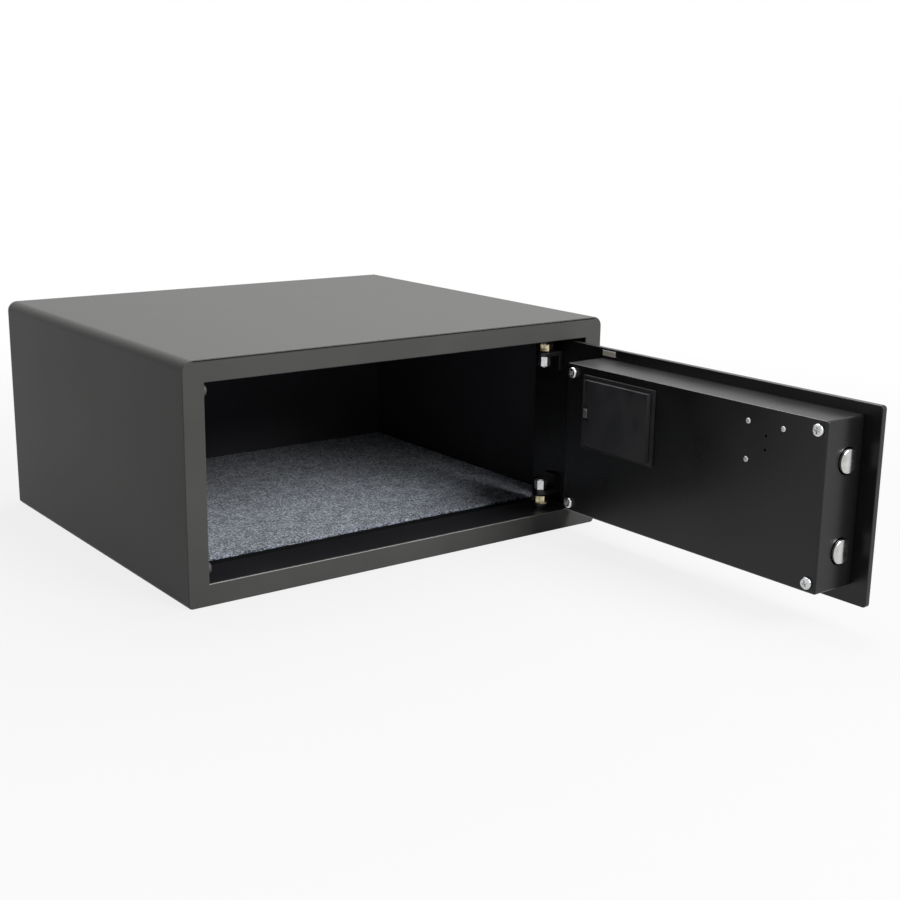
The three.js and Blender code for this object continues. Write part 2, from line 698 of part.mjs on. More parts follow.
function batteryTray() {
  const lip = trayFace - BATTERY_FRAME_LIP;
  const rim = lip - BATTERY_RIM_HEIGHT;
  const inset = TRAY_FLANGE;
  const tray = join(
    block([trayHinge, rim, trayBottom], [trayFree, trayFace, trayTop]),
    block([trayHinge + inset, lip, trayBottom + inset], [trayFree - inset, trayFloor, trayTop - inset]),
  );
  return cut(
    tray,
    block(
      [trayHinge + BATTERY_RIM_WIDTH, rim - 1, trayBottom + BATTERY_RIM_WIDTH],
      [trayFree - BATTERY_RIM_WIDTH, lip, trayTop - BATTERY_RIM_WIDTH],
    ),
    block([bayHinge, rim - 1, bayBottom], [bayFree, trayFloor - TRAY_WALL, bayTop]),
  );
}

const cellPitch = (bayTop - bayBottom) / CELL_COUNT;
const cellDepth = trayFloor - TRAY_WALL - CELL_GAP - CELL_RADIUS;
const cellMiddle = (bayHinge + bayFree) / 2;
const cellHeights = Array.from({ length: CELL_COUNT }, (_, i) => bayBottom + cellPitch * (i + 0.5));

const nubSide = (i) => (i % 2 === 0 ? 1 : -1);

function batteryCell(height, i) {
  const side = nubSide(i);
  const half = CELL_LENGTH / 2;
  const can = rod(CELL_RADIUS, 'x', cellMiddle - half, cellMiddle + half, [cellDepth, height], 20);
  const root = cellMiddle + side * (half - 1);
  const tip = cellMiddle + side * (half + CELL_NUB_HEIGHT);
  const nub = rod(CELL_NUB_RADIUS, 'x', Math.min(root, tip), Math.max(root, tip), [cellDepth, height], 12);
  return join(can, nub);
}

// Spring plate at one end of the battery bay, with one boss to each cell end
function batteryContact(side) {
  const wall = side < 0 ? bayHinge + SEAT_GAP : bayFree - SEAT_GAP;
  const inner = wall - side * CONTACT_THICKNESS;
  const cellEnd = cellMiddle + side * (CELL_LENGTH / 2);
  const plate = block(
    [Math.min(wall, inner), cellDepth - CONTACT_SPRING_RADIUS, bayBottom + SEAT_GAP],
    [Math.max(wall, inner), cellDepth + CONTACT_SPRING_RADIUS, bayTop - SEAT_GAP],
  );
  const bosses = cellHeights.map((height, i) => {
    const reach = cellEnd + side * (SEAT_GAP + (nubSide(i) === side ? CELL_NUB_HEIGHT : 0));
    const root = wall - side * CONTACT_THICKNESS / 2;
    const ends = [Math.min(reach, root), Math.max(reach, root)];
    return rod(CONTACT_SPRING_RADIUS, 'x', ends[0], ends[1], [cellDepth, height], 12);
  });
  return join(plate, ...bosses);
}

// Raised battery lid, notched for its latch on the side nearest the door's hinge
const lidHinge = trayHinge + BATTERY_RIM_WIDTH + LID_LATCH_GAP;
const lidFree = trayFree - BATTERY_RIM_WIDTH - LID_RIM_GAP;
const lidTop = trayTop - BATTERY_RIM_WIDTH - LID_RIM_GAP;
const lidBottom = trayBottom + BATTERY_RIM_WIDTH + LID_RIM_GAP;
const lidBack = trayFace - BATTERY_FRAME_LIP - SEAT_GAP;
const lidFace = lidBack - LID_HEIGHT;

function batteryLid() {
  const middle = (lidTop + lidBottom) / 2;
  const notch = LATCH_NOTCH_WIDTH / 2;
  const tab = LATCH_TAB_WIDTH / 2;
  const shell = cut(
    block([lidHinge, lidFace, lidBottom], [lidFree, lidBack, lidTop]),
    block(
      [lidHinge + LID_WALL + LATCH_NOTCH_DEPTH, lidFace + LID_WALL, lidBottom + LID_WALL],
      [lidFree - LID_WALL, lidBack + 1, lidTop - LID_WALL],
    ),
    block(
      [lidHinge - 1, lidFace - 1, middle - notch],
      [lidHinge + LATCH_NOTCH_DEPTH, lidBack + 1, middle + notch],
    ),
  );
  const latch = block(
    [lidHinge, lidBack - LATCH_TAB_RISE, middle - tab],
    [lidHinge + LATCH_NOTCH_DEPTH + LID_WALL / 2, lidBack - LATCH_TAB_FROM_BACK, middle + tab],
  );
  return join(shell, latch);
}

function lockBolt(height) {
  const section = boltOutline(BOLT_RADIUS, BOLT_FLAT_OFFSET, boltAxis, height, 1);
  const body = slab(section, 'x', boltTail, boltTip - BOLT_NOSE);
  const noseRadius = BOLT_RADIUS - BOLT_NOSE;
  const noseFlat = BOLT_FLAT_OFFSET - BOLT_NOSE / 2;
  const nose = slab(boltOutline(noseRadius, noseFlat, boltAxis, height, 1), 'x', boltTail + 1, boltTip);
  return join(body, nose);
}

// Rack teeth, standing up from the pitch line, in the plane of u and z
function rackOutline(low, high) {
  const addendum = GEAR_MODULE;
  const lean = Math.tan(THREE.MathUtils.degToRad(PRESSURE_ANGLE));
  const half = (toothPitch - BACKLASH) / 4;
  const root = pitchLine - DEDENDUM;
  const tip = pitchLine + addendum;
  const points = [[low, pitchLine - RACK_HEIGHT], [high, pitchLine - RACK_HEIGHT], [high, root]];
  const last = Math.floor((high - pinionU) / toothPitch - 0.5);
  const first = Math.ceil((low - pinionU) / toothPitch + 0.5);
  for (let k = last; k >= first; k -= 1) {
    const u = pinionU + k * toothPitch;
    points.push([u + half + DEDENDUM * lean, root], [u + half - addendum * lean, tip]);
    points.push([u - half + addendum * lean, tip], [u - half - DEDENDUM * lean, root]);
  }
  points.push([low, root]);
  return polygon(points);
}

const rackLow = pinionU - BOLT_TRAVEL - RACK_SPARE_TEETH * toothPitch;
const rackHigh = pinionU + RACK_SPARE_TEETH * toothPitch;
const pegU = lockU - CAM_WIDTH / 2 - PEG_RADIUS - 2 * SEAT_GAP;
const pegZ = lockZ - PEG_DROP;
const carriageIn = boltAxis - CARRIAGE_WIDTH / 2;
const camBack = -SEAT_GAP;
const camFront = camBack + CAM_THICKNESS;
const pegArmOut = camBack - RUN_GAP - SEAT_GAP;
const pegArmIn = pegArmOut - PEG_ARM_THICKNESS;

// Sliding piece that carries both bolts, the rack and the peg for the emergency lock
function boltCarriage() {
  const top = boltHeights[0] + BOLT_RADIUS + CARRIAGE_OVERHANG;
  const bottom = boltHeights[1] - BOLT_RADIUS - CARRIAGE_OVERHANG;
  const rail = block([carriageBack, carriageIn, bottom], [carriageFront, carriageIn + CARRIAGE_WIDTH, top]);
  const rack = slab(rackOutline(rackLow, rackHigh), 'y', rackIn, rackIn + GEAR_WIDTH);
  const neck = block(
    [rackHigh - 1, rackIn, pitchLine - RACK_HEIGHT],
    [carriageBack + 1, rackIn + GEAR_WIDTH, pitchLine - DEDENDUM],
  );
  const arm = block(
    [pegU - PEG_RADIUS, pegArmIn, pegZ - PEG_ARM_HEIGHT / 2],
    [carriageBack + 1, pegArmOut, pegZ + PEG_ARM_HEIGHT / 2],
  );
  const peg = rod(PEG_RADIUS, 'y', pegArmIn + 1, camFront + RUN_GAP, [pegU, pegZ], 16);
  return join(rail, rack, neck, arm, peg);
}

// Bracket on the door plate whose upright guides both bolts
function boltGuide() {
  const near = boltTail + BOLT_TRAVEL + GUIDE_CLEARANCE;
  const top = boltHeights[0] + BOLT_RADIUS + CARRIAGE_OVERHANG;
  const bottom = boltHeights[1] - BOLT_RADIUS - CARRIAGE_OVERHANG;
  const heel = boltAxis - BOLT_RADIUS - GUIDE_HEEL;
  const upright = block([near, heel, bottom], [near + GUIDE_SHEET, plateSeat, top]);
  const foot = block([near, plateSeat - GUIDE_SHEET, bottom], [near + GUIDE_FOOT, plateSeat, top]);
  const radius = BOLT_RADIUS + RUN_GAP;
  const flat = BOLT_FLAT_OFFSET + RUN_GAP;
  return cut(
    join(upright, foot),
    ...boltHeights.map((height) => (
      slab(boltOutline(radius, flat, boltAxis, height, 1), 'x', near - 1, near + GUIDE_SHEET + 1))),
  );
}

// Involute pinion in the plane of u and z, with a tooth space pointing straight down at the rack
function pinionOutline() {
  const outline = [];
  const pressure = THREE.MathUtils.degToRad(PRESSURE_ANGLE);
  const base = pitchRadius * Math.cos(pressure);
  const tip = pitchRadius + GEAR_MODULE;
  const root = pitchRadius - DEDENDUM;
  const involute = (angle) => Math.tan(angle) - angle;
  const halfTooth = (toothPitch - BACKLASH) / 4 / pitchRadius;
  const flank = (radius) => halfTooth + involute(pressure) - involute(Math.acos(Math.min(1, base / radius)));
  const radii = [base, pitchRadius, (pitchRadius + tip) / 2, tip];
  for (let tooth = 0; tooth < PINION_TEETH; tooth += 1) {
    const middle = -Math.PI / 2 + (tooth + 0.5) * 2 * Math.PI / PINION_TEETH;
    const put = (radius, angle) => outline.push([
      pinionU + radius * Math.cos(middle + angle),
      pinionZ + radius * Math.sin(middle + angle),
    ]);
    put(root, -flank(base));
    radii.forEach((radius) => put(radius, -flank(radius)));
    [...radii].reverse().forEach((radius) => put(radius, flank(radius)));
    put(root, flank(base));
  }
  return polygon(outline);
}

const gearboxIn = rackIn + GEAR_WIDTH + 2 * SEAT_GAP;
const gearboxOut = gearboxIn + GEARBOX_DEPTH;
const gearboxBottom = pinionZ - GEARBOX_BELOW_SHAFT;
const gearboxTop = gearboxBottom + GEARBOX_HEIGHT;

function drivePinion() {
  const wheel = slab(pinionOutline(), 'y', rackIn, rackIn + GEAR_WIDTH);
  const shaftEnds = [rackIn - SHAFT_END, gearboxIn + SHAFT_IN_GEARBOX];
  const shaft = rod(SHAFT_RADIUS, 'y', shaftEnds[0], shaftEnds[1], [pinionU, pinionZ], 16);
  return join(wheel, shaft);
}

// Gearbox with a wide foot against the door plate
function gearboxHousing() {
  const half = GEARBOX_WIDTH / 2;
  const foot = half + GEARBOX_FOOT_OVERHANG;
  return cut(
    join(
      block([pinionU - half, gearboxIn, gearboxBottom], [pinionU + half, gearboxOut + SEAT_GAP, gearboxTop]),
      block([pinionU - foot, gearboxOut, gearboxBottom], [pinionU + foot, plateSeat, gearboxTop]),
    ),
    rod(SHAFT_RADIUS + RUN_GAP, 'y', gearboxIn - 1, gearboxIn + SHAFT_IN_GEARBOX + 1, [pinionU, pinionZ], 16),
  );
}

function driveMotor() {
  const w = (gearboxIn + gearboxOut) / 2 - (MOTOR_FLAT_OFFSET - GEARBOX_DEPTH / 2);
  const low = gearboxTop + SEAT_GAP;
  const high = low + MOTOR_LENGTH;
  const can = rod(MOTOR_RADIUS, 'z', low, high, [pinionU, w], 20);
  const cap = rod(MOTOR_CAP_RADIUS, 'z', high - 1, high + MOTOR_CAP_HEIGHT, [pinionU, w], 16);
  const reach = MOTOR_RADIUS + 1;
  const flats = [-1, 1].map((side) => block(
    [pinionU - reach, w + Math.min(side * MOTOR_FLAT_OFFSET, side * reach), low - 1],
    [pinionU + reach, w + Math.max(side * MOTOR_FLAT_OFFSET, side * reach), high + 1],
  ));
  return cut(join(can, cap), ...flats);
}

const lockPlace = [lockU, lockZ];
const lockInside = plateIn - LOCK_BODY_INSIDE;

// Barrel of the emergency lock, with the nut that clamps it to the door plate
function lockBody() {
  const nutFlats = 2 * LOCK_NUT_RADIUS * Math.cos(Math.PI / 6);
  const barrel = join(
    rod(LOCK_BODY_RADIUS, 'y', lockInside, keypadFace, lockPlace, 24),
    hexBar(nutFlats, 'y', plateSeat - LOCK_NUT_THICKNESS, plateSeat, lockPlace),
  );
  return cut(barrel, rod(PLUG_RADIUS + RUN_GAP, 'y', lockInside - 1, keypadFace + 1, lockPlace, 24));
}

function lockPlug() {
  const front = keypadFace + PLUG_PROUD;
  const plug = join(
    rod(PLUG_RADIUS, 'y', lockInside - SEAT_GAP, front, lockPlace, 24),
    rod(CAM_STUB_RADIUS, 'y', camBack - 1, lockInside, lockPlace, 16),
  );
  const halfWidth = KEYWAY_WIDTH / 2;
  const halfHeight = KEYWAY_HEIGHT / 2;
  return cut(plug, block(
    [lockU - halfWidth, front - KEYWAY_DEPTH, lockZ - halfHeight],
    [lockU + halfWidth, front + 1, lockZ + halfHeight],
  ));
}

// Cam of the emergency lock, parked towards the bolts, clear of the peg
function lockCam() {
  const half = CAM_WIDTH / 2;
  const outline = new THREE.Shape();
  outline.moveTo(lockU, lockZ - half);
  outline.lineTo(lockU + CAM_LENGTH, lockZ - half);
  outline.lineTo(lockU + CAM_LENGTH, lockZ + half);
  outline.lineTo(lockU, lockZ + half);
  outline.absarc(lockU, lockZ, half, Math.PI / 2, 3 * Math.PI / 2);
  const bore = rod(CAM_STUB_RADIUS + SEAT_GAP, 'y', camBack - 1, camFront + 1, lockPlace, 16);
  return cut(slab(outline, 'y', camBack, camFront), bore);
}

const lockLidPin = [lockU, lockZ + LOCK_LID_PIN_RISE];

// Swinging disc that hides the keyhole; it hangs from the pin above the lock
function lockLid() {
  const low = keypadFace + PLUG_PROUD + RUN_GAP;
  const high = low + LOCK_LID_THICKNESS;
  const disc = rod(LOCK_LID_RADIUS, 'y', low, high, lockPlace, 28);
  const ear = rod(LOCK_LID_EAR_RADIUS, 'y', low, high, lockLidPin, 20);
  const web = block(
    [lockU - LOCK_LID_EAR_RADIUS, low, lockZ],
    [lockU + LOCK_LID_EAR_RADIUS, high, lockLidPin[1]],
  );
  const bore = rod(LOCK_LID_PIN_RADIUS + RUN_GAP, 'y', low - 1, high + 1, lockLidPin, 16);
  return cut(join(disc, ear, web), bore);
}

const boardIn = coverInside + SEAT_GAP + SPACER_LENGTH;
const boardOut = boardIn + BOARD_THICKNESS;

const resetTip = coverInside + RESET_PROUD;
const switchIn = boardIn - SWITCH_HEIGHT;
const resetWell = boardIn - RESET_WELL_FLOOR;

// Control board behind the cover, on three spacers, with the reset switch soldered to it
function controlBoard() {
  const half = SWITCH_SIDE / 2;
  const [u, z] = resetPlace;
  const inBoard = boardIn + BOARD_THICKNESS / 2;
  const board = join(
    block(
      [rivetFreeU - RIVET_PITCH_ALONG - BOARD_EDGE, boardIn, rivetTopZ - RIVET_PITCH_UP - BOARD_EDGE],
      [rivetFreeU + BOARD_EDGE, boardOut, rivetTopZ + BOARD_EDGE],
    ),
    ...rivetPlaces.map((at) => rod(SPACER_RADIUS, 'y', coverInside + SEAT_GAP, inBoard, at, 16)),
    block([u - half, switchIn, z - half], [u + half, inBoard, z + half]),
  );
  return cut(
    board,
    rod(RESET_RADIUS + RUN_GAP, 'y', switchIn - 1, resetWell, resetPlace, 16),
    ...rivetPlaces.map((at) => rod(RIVET_RADIUS, 'y', coverInside, boardOut + 1, at, 12)),
  );
}

function resetButton() {
  return rod(RESET_RADIUS, 'y', resetTip, resetWell - SEAT_GAP - RESET_TRAVEL, resetPlace, 16);
}

// A panel with rounded corners and chamfered rims
function bevelledPanel(x0, y0, x1, y1, radius, start, end, bevel) {
  const solid = new THREE.ExtrudeGeometry(panelOutline(x0, y0, x1, y1, radius), {
    depth: end - start - 2 * bevel,
    bevelEnabled: true,
    bevelThickness: bevel,
    bevelSize: bevel,
    bevelOffset: -bevel,
    bevelSegments: 1,
    curveSegments: 3,
  });
  return solid.applyMatrix4(lay.y(start + bevel, end - bevel));
}

const keyPlaces = Array.from({ length: KEY_ROWS }, (_, row) => (
  Array.from({ length: KEY_COLUMNS }, (__, column) => [
    keypadHinge + KEY_HINGE_INSET + (KEY_COLUMNS - 1 - column) * KEY_COLUMN_PITCH,
    keypadMid + ((KEY_ROWS - 1) / 2 - row) * KEY_ROW_PITCH,
  ]))).flat();
const keyNames = ['1', '2', '3', '4', '5', '6', '7', '8', '9', 'clear', '0', 'enter'];
const windowFree = keypadFree - WINDOW_FREE_INSET;
const windowTop = keypadMid + KEYPAD_HEIGHT / 2 - WINDOW_TOP_INSET;
const keypadBoardOut = keypadBack + SEAT_GAP + BOARD_THICKNESS;
const boardPocket = [
  keypadHinge + BOARD_POCKET_INSET,
  keypadMid - KEYPAD_HEIGHT / 2 + BOARD_POCKET_INSET,
  keypadFree - BOARD_POCKET_INSET,
  keypadMid + KEYPAD_HEIGHT / 2 - BOARD_POCKET_INSET,
];

// Keypad moulding with its wells, the pin of the keyhole lid and four fixing studs
function keypadHousing() {
  const half = KEYPAD_HEIGHT / 2;
  const low = keypadMid - half;
  const high = keypadMid + half;
  const body = bevelledPanel(
    keypadHinge, low, keypadFree, high, KEYPAD_CORNER_RADIUS, keypadBack, keypadFace, KEYPAD_CHAMFER);
  const wells = keyPlaces.map(([u, z]) => block(
    [u - KEY_WIDTH / 2 - KEY_CLEARANCE, keypadBack - 1, z - KEY_HEIGHT / 2 - KEY_CLEARANCE],
    [u + KEY_WIDTH / 2 + KEY_CLEARANCE, keypadFace + 1, z + KEY_HEIGHT / 2 + KEY_CLEARANCE],
  ));
  const [u0, z0, u1, z1] = boardPocket;
  const recess = keypadFace - WINDOW_THICKNESS - SEAT_GAP;
  const pinEnd = keypadFace + PLUG_PROUD + 2 * RUN_GAP + LOCK_LID_THICKNESS;
  const studEnd = plateSeat - KEYPAD_STUD_TAIL;
  const shell = cut(
    body,
    block([u0, keypadBack - 1, z0], [u1, keypadBoardOut + SEAT_GAP, z1]),
    ...wells,
    block(
      [windowFree - WINDOW_WIDTH - SEAT_GAP, recess, windowTop - WINDOW_HEIGHT - SEAT_GAP],
      [windowFree + SEAT_GAP, keypadFace + 1, windowTop + SEAT_GAP],
    ),
    rod(LOCK_BODY_RADIUS + HOLE_GAP, 'y', keypadBack - 1, keypadFace + 1, lockPlace, 24),
  );
  return join(
    shell,
    rod(LOCK_LID_PIN_RADIUS, 'y', keypadFace - 1, pinEnd + LOCK_LID_PIN_HEAD_HEIGHT / 2, lockLidPin, 16),
    rod(LOCK_LID_PIN_HEAD_RADIUS, 'y', pinEnd, pinEnd + LOCK_LID_PIN_HEAD_HEIGHT, lockLidPin, 16),
    ...keypadStudPlaces.map((at) => rod(KEYPAD_STUD_RADIUS, 'y', studEnd, keypadBack + 1, at, 12)),
  );
}

function keypadBoard() {
  const [u0, z0, u1, z1] = boardPocket;
  const low = keypadBack + SEAT_GAP;
  return cut(
    block([u0 + SEAT_GAP, low, z0 + SEAT_GAP], [u1 - SEAT_GAP, keypadBoardOut, z1 - SEAT_GAP]),
    rod(LOCK_BODY_RADIUS + 2 * HOLE_GAP, 'y', keypadBack - 1, keypadBoardOut + 1, lockPlace, 24),
  );
}

function key([u, z]) {
  const halfWidth = KEY_WIDTH / 2;
  const halfHeight = KEY_HEIGHT / 2;
  const low = keypadBoardOut + SEAT_GAP + KEY_TRAVEL + SEAT_GAP;
  return bevelledPanel(
    u - halfWidth, z - halfHeight, u + halfWidth, z + halfHeight,
    KEY_CORNER_RADIUS, low, keypadFace + KEY_PROUD, KEY_CHAMFER);
}

function displayWindow() {
  const outline = panelOutline(
    windowFree - WINDOW_WIDTH, windowTop - WINDOW_HEIGHT, windowFree, windowTop, WINDOW_CORNER_RADIUS);
  return slab(outline, 'y', keypadFace - WINDOW_THICKNESS, keypadFace);
}

const safe = new THREE.Group();
safe.add(
  piece('body_wrap', bodyWrap(), 'graphitePaint'),
  piece('base_plate', basePlate(), 'graphitePaint'),
  piece('back_panel', backPanel(), 'graphitePaint'),
  piece('front_frame', frontFrame(), 'graphitePaint'),
  piece('top_hinge_rail', hingeRail(openingTop, RAIL_SHEET, BODY_HEIGHT - BODY_SHEET), 'innerPaint'),
  piece('bottom_hinge_rail', hingeRail(openingBottom, -RAIL_SHEET, BODY_SHEET), 'innerPaint'),
  piece('strike_rail', strikeRail(), 'innerPaint'),
  piece('floor_panel', floorPanel(), 'innerPaint'),
  piece('carpet_mat', carpetMat(), 'carpet'),
  ...hingeEnds.map((end) => piece(`hinge_screw_${end.name}`, hingeScrew(end), 'zinc')),
  ...hingeEnds.map((end) => piece(`hinge_bush_${end.name}`, hingeBush(end), 'yellowZinc')),
);

// The door, drawn in u, w and z and swung open about its pins
const door = new THREE.Group();
door.position.set(pivotX, pivotY, 0);
door.rotation.z = Math.PI + THREE.MathUtils.degToRad(OPEN_ANGLE);
door.add(
  piece('door_plate', doorPlate(), 'doorPaint'),
  ...hingeEnds.map((end) => piece(`hinge_arm_${end.name}`, hingeArm(end), 'doorPaint')),
  piece('lock_cover', lockCover(), 'doorPaint'),
  ...coverScrewPlaces.map((at, i) => piece(`cover_screw_${i + 1}`, coverScrew(at), 'zinc')),
  piece('blank_label', blankLabel(), 'bareLabel'),
  piece('battery_tray', batteryTray(), 'blackPlastic'),
  ...cellHeights.map((height, i) => piece(`battery_cell_${i + 1}`, batteryCell(height, i), 'cellJacket')),
  piece('battery_contact_inner', batteryContact(-1), 'steel'),
  piece('battery_contact_outer', batteryContact(1), 'steel'),
  piece('battery_lid', batteryLid(), 'blackPlastic'),
  piece('lock_bolt_upper', lockBolt(boltHeights[0]), 'chrome'),
  piece('lock_bolt_lower', lockBolt(boltHeights[1]), 'chrome'),
  piece('bolt_carriage', boltCarriage(), 'steel'),
  piece('bolt_guide', boltGuide(), 'steel'),
  piece('drive_pinion', drivePinion(), 'brass'),
  piece('gearbox_housing', gearboxHousing(), 'steel'),
  piece('drive_motor', driveMotor(), 'steel'),
  piece('emergency_lock_body', lockBody(), 'zinc'),
  piece('emergency_lock_plug', lockPlug(), 'chrome'),
  piece('emergency_lock_cam', lockCam(), 'steel'),
  piece('keyhole_lid', lockLid(), 'keyPlastic'),
  piece('control_board', controlBoard(), 'boardGreen'),
  piece('reset_button', resetButton(), 'greyRubber'),
  piece('keypad_housing', keypadHousing(), 'blackPlastic'),
  piece('keypad_board', keypadBoard(), 'boardGreen'),
  piece('display_window', displayWindow(), 'windowPlastic'),
  ...keyPlaces.map((place, i) => piece(`key_${keyNames[i]}`, key(place), 'keyPlastic')),
);
safe.add(door);

export default safe;
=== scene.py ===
# Looks of a steel room safe that stands with its door open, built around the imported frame.
# Lengths are metres. The row frame has X to the right, Y to the back and Z up.

import json
import math
import random

import bpy
from bpy.types import Operator, Panel, PropertyGroup
from mathutils import Matrix, Vector

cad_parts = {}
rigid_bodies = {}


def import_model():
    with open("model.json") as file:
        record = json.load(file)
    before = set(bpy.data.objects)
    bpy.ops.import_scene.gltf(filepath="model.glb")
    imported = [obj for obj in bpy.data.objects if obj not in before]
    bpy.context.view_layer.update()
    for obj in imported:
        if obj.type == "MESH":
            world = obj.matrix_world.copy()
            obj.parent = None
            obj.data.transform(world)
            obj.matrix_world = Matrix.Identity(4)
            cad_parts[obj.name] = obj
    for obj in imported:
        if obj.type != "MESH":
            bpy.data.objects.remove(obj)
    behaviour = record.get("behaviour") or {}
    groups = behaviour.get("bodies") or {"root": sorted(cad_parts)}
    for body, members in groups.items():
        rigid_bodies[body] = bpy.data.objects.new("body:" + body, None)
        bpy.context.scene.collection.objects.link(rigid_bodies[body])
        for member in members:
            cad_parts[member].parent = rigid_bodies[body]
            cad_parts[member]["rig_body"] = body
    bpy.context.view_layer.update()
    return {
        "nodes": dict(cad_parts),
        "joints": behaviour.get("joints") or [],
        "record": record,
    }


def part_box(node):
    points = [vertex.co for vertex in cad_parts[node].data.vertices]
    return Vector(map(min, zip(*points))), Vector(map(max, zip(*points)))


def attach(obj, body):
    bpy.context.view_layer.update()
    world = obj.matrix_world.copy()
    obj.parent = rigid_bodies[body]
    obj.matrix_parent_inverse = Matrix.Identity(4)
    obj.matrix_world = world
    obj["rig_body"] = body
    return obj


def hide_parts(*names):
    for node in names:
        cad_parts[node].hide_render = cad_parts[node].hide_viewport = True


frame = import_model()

bl_info = {
    "name": "Room safe",
    "version": (1, 0, 0),
    "blender": (4, 5, 0),
    "location": "3D View > Sidebar > Safe",
    "description": "Dresses the packed model of a steel safe with finished pieces and materials",
    "category": "Object",
}

MM = 0.001
NEAR = 0.02 * MM  # Points closer than this lie at one place
SENSOR_WIDTH = 36  # In millimetres, like the lens
WHITE = (1, 1, 1, 1)
NOISE_LOW, NOISE_HIGH = 0.3, 0.7  # Nearly all of a noise pattern lies between these values

# The door's own frame: u runs from the pivot to the free edge, w outwards, z up
DOOR_HINGE = next(joint for joint in frame["joints"] if joint["name"] == "door_hinge")
OPEN_ANGLE = math.radians(-DOOR_HINGE["range_deg"][0])
PIVOT = Vector((DOOR_HINGE["pos_m"][0], DOOR_HINGE["pos_m"][1], 0))
DOOR_PLACE = Matrix.Translation(PIVOT) @ Matrix.Rotation(math.pi + OPEN_ANGLE, 4, "Z")
KEY_NODES = sorted(node for node in frame["nodes"] if node.startswith("key_"))


# The finish of each material slot of the CAD
SLOT_FINISHES = {
    "graphite_paint": "Graphite powder coat",
    "inner_paint": "Semi-gloss black powder coat",
    "carpet": "Speckled needle felt",
    "chrome": "Chrome plated steel",
    "zinc": "Zinc plated steel",
    "yellow_zinc": "Yellow passivated zinc",
    "steel": "Cold rolled steel",
    "brass": "Machined brass",
    "door_paint": "Satin black powder coat",
    "black_plastic": "Moulded black ABS",
    "key_plastic": "Moulded grey ABS",
    "window_plastic": "Red acrylic",
    "grey_rubber": "Moulded grey rubber",
    "circuit_board": "Glass fibre circuit board",
    "bare_label": "Matt polyester film",
    "cell_jacket": "Printed cell film",
}
# What shows of the raised floor in front of the carpet is painted darker and duller than the other
# black coats, as shade
NODE_FINISHES = {"floor_panel": "Dull black coat with painted shade"}


def linear(hex_colour):
    """The linear colour of an sRGB hex value, with alpha 1."""
    channels = [int(hex_colour[i:i + 2], 16) / 255 for i in (1, 3, 5)]
    return (*[c / 12.92 if c <= 0.04045 else ((c + 0.055) / 1.055) ** 2.4 for c in channels], 1.0)


# Sizes and colours that a user would change


def number_prop(name, description, default, **kind):
    """A number to set."""
    return bpy.props.FloatProperty(name=name, description=description, default=default, **kind)


def length_prop(name, description, size):
    """A length to set, whose default is given in millimetres."""
    return number_prop(name, description, size * MM, unit="LENGTH")


def lengths_prop(name, description, *sizes):
    """Two or three lengths to set, given like a single one."""
    return bpy.props.FloatVectorProperty(
        name=name, description=description, default=[size * MM for size in sizes],
        size=len(sizes), unit="LENGTH")


def angle_prop(name, description, degrees):
    """An angle to set."""
    return number_prop(name, description, math.radians(degrees), subtype="ANGLE")


def colour_prop(name, description, hex_colour):
    """A colour to set."""
    return bpy.props.FloatVectorProperty(
        name=name, description=description, default=linear(hex_colour), size=4, subtype="COLOR")


class StageSettings(PropertyGroup):
    """Camera, lamps and floor."""

    azimuth: angle_prop("Azimuth", "Camera's angle round the safe, from straight in front", -37.0)
    elevation: angle_prop("Elevation", "Camera's angle above the horizon", 14.11)
    roll: angle_prop("Roll", "Camera's turn about its own line of sight", 0.86)
    distance: length_prop("Distance", "From the camera to the point that it looks at", 1477.22)
    target: lengths_prop("Target", "Point that the camera looks at", 179.71, 0.0, 37.32)
    lens: number_prop("Lens", "Focal length on a 36 mm wide sensor, in millimetres", 56.346)
    top_light: number_prop("Top light", "Power of the soft lamp above", 34.0, unit="POWER")
    front_light: number_prop(
        "Front light", "Power of the soft lamp high in front", 41.0, unit="POWER")
    surroundings: number_prop("Surroundings", "Strength of the even light from all sides", 0.1)
    floor_colour: colour_prop("Floor colour", "Pale floor and backdrop", "#989898")


class BodySettings(PropertyGroup):
    """Shell, carpet and door stops."""

    top_radius: length_prop("Top edge radius", "Outer radius of the long top edges", 9)
    bottom_radius: length_prop("Bottom edge radius", "Outer radius of the long bottom edges", 3.5)
    lip_radius: length_prop("Lip radius", "Rounding of the shell's other sheet edges", 0.85)
    seam_width: length_prop("Seam width", "Open seam between top sheet and front frame", 1.0)
    lip_highlight_colour: colour_prop(
        "Lip highlight colour", "Powder coat with a painted highlight on the lip of the sill", "#8a8a88")
    shell_colour: colour_prop("Shell colour", "Graphite powder coat outside", "#474746")
    inner_colour: colour_prop("Inner colour", "Black powder coat on the inner walls", "#404044")
    rail_colour: colour_prop("Rail colour", "Black powder coat on the rails", "#222225")
    felt_colour: colour_prop("Felt colour", "Main colour of the carpet's fibres", "#727883")
    felt_speck: length_prop("Felt speck", "Size of a speck of one colour in the felt", 2.4)
    edge_fibres: bpy.props.IntProperty(
        name="Edge fibres", description="Loose fibres along the carpet's front edge", default=320)
    frame_border: length_prop("Frame border", "Front frame's width round the opening", 18.5)
    stop_radius: length_prop("Stop radius", "Rubber sleeve of a door stop", 5.15)
    stop_setback: length_prop(
        "Stop place", "The stops' axis, from the middle of the body to the front", -174.7)
    stop_heights: lengths_prop("Stop heights", "The stops' axes above the floor", 174, 29)


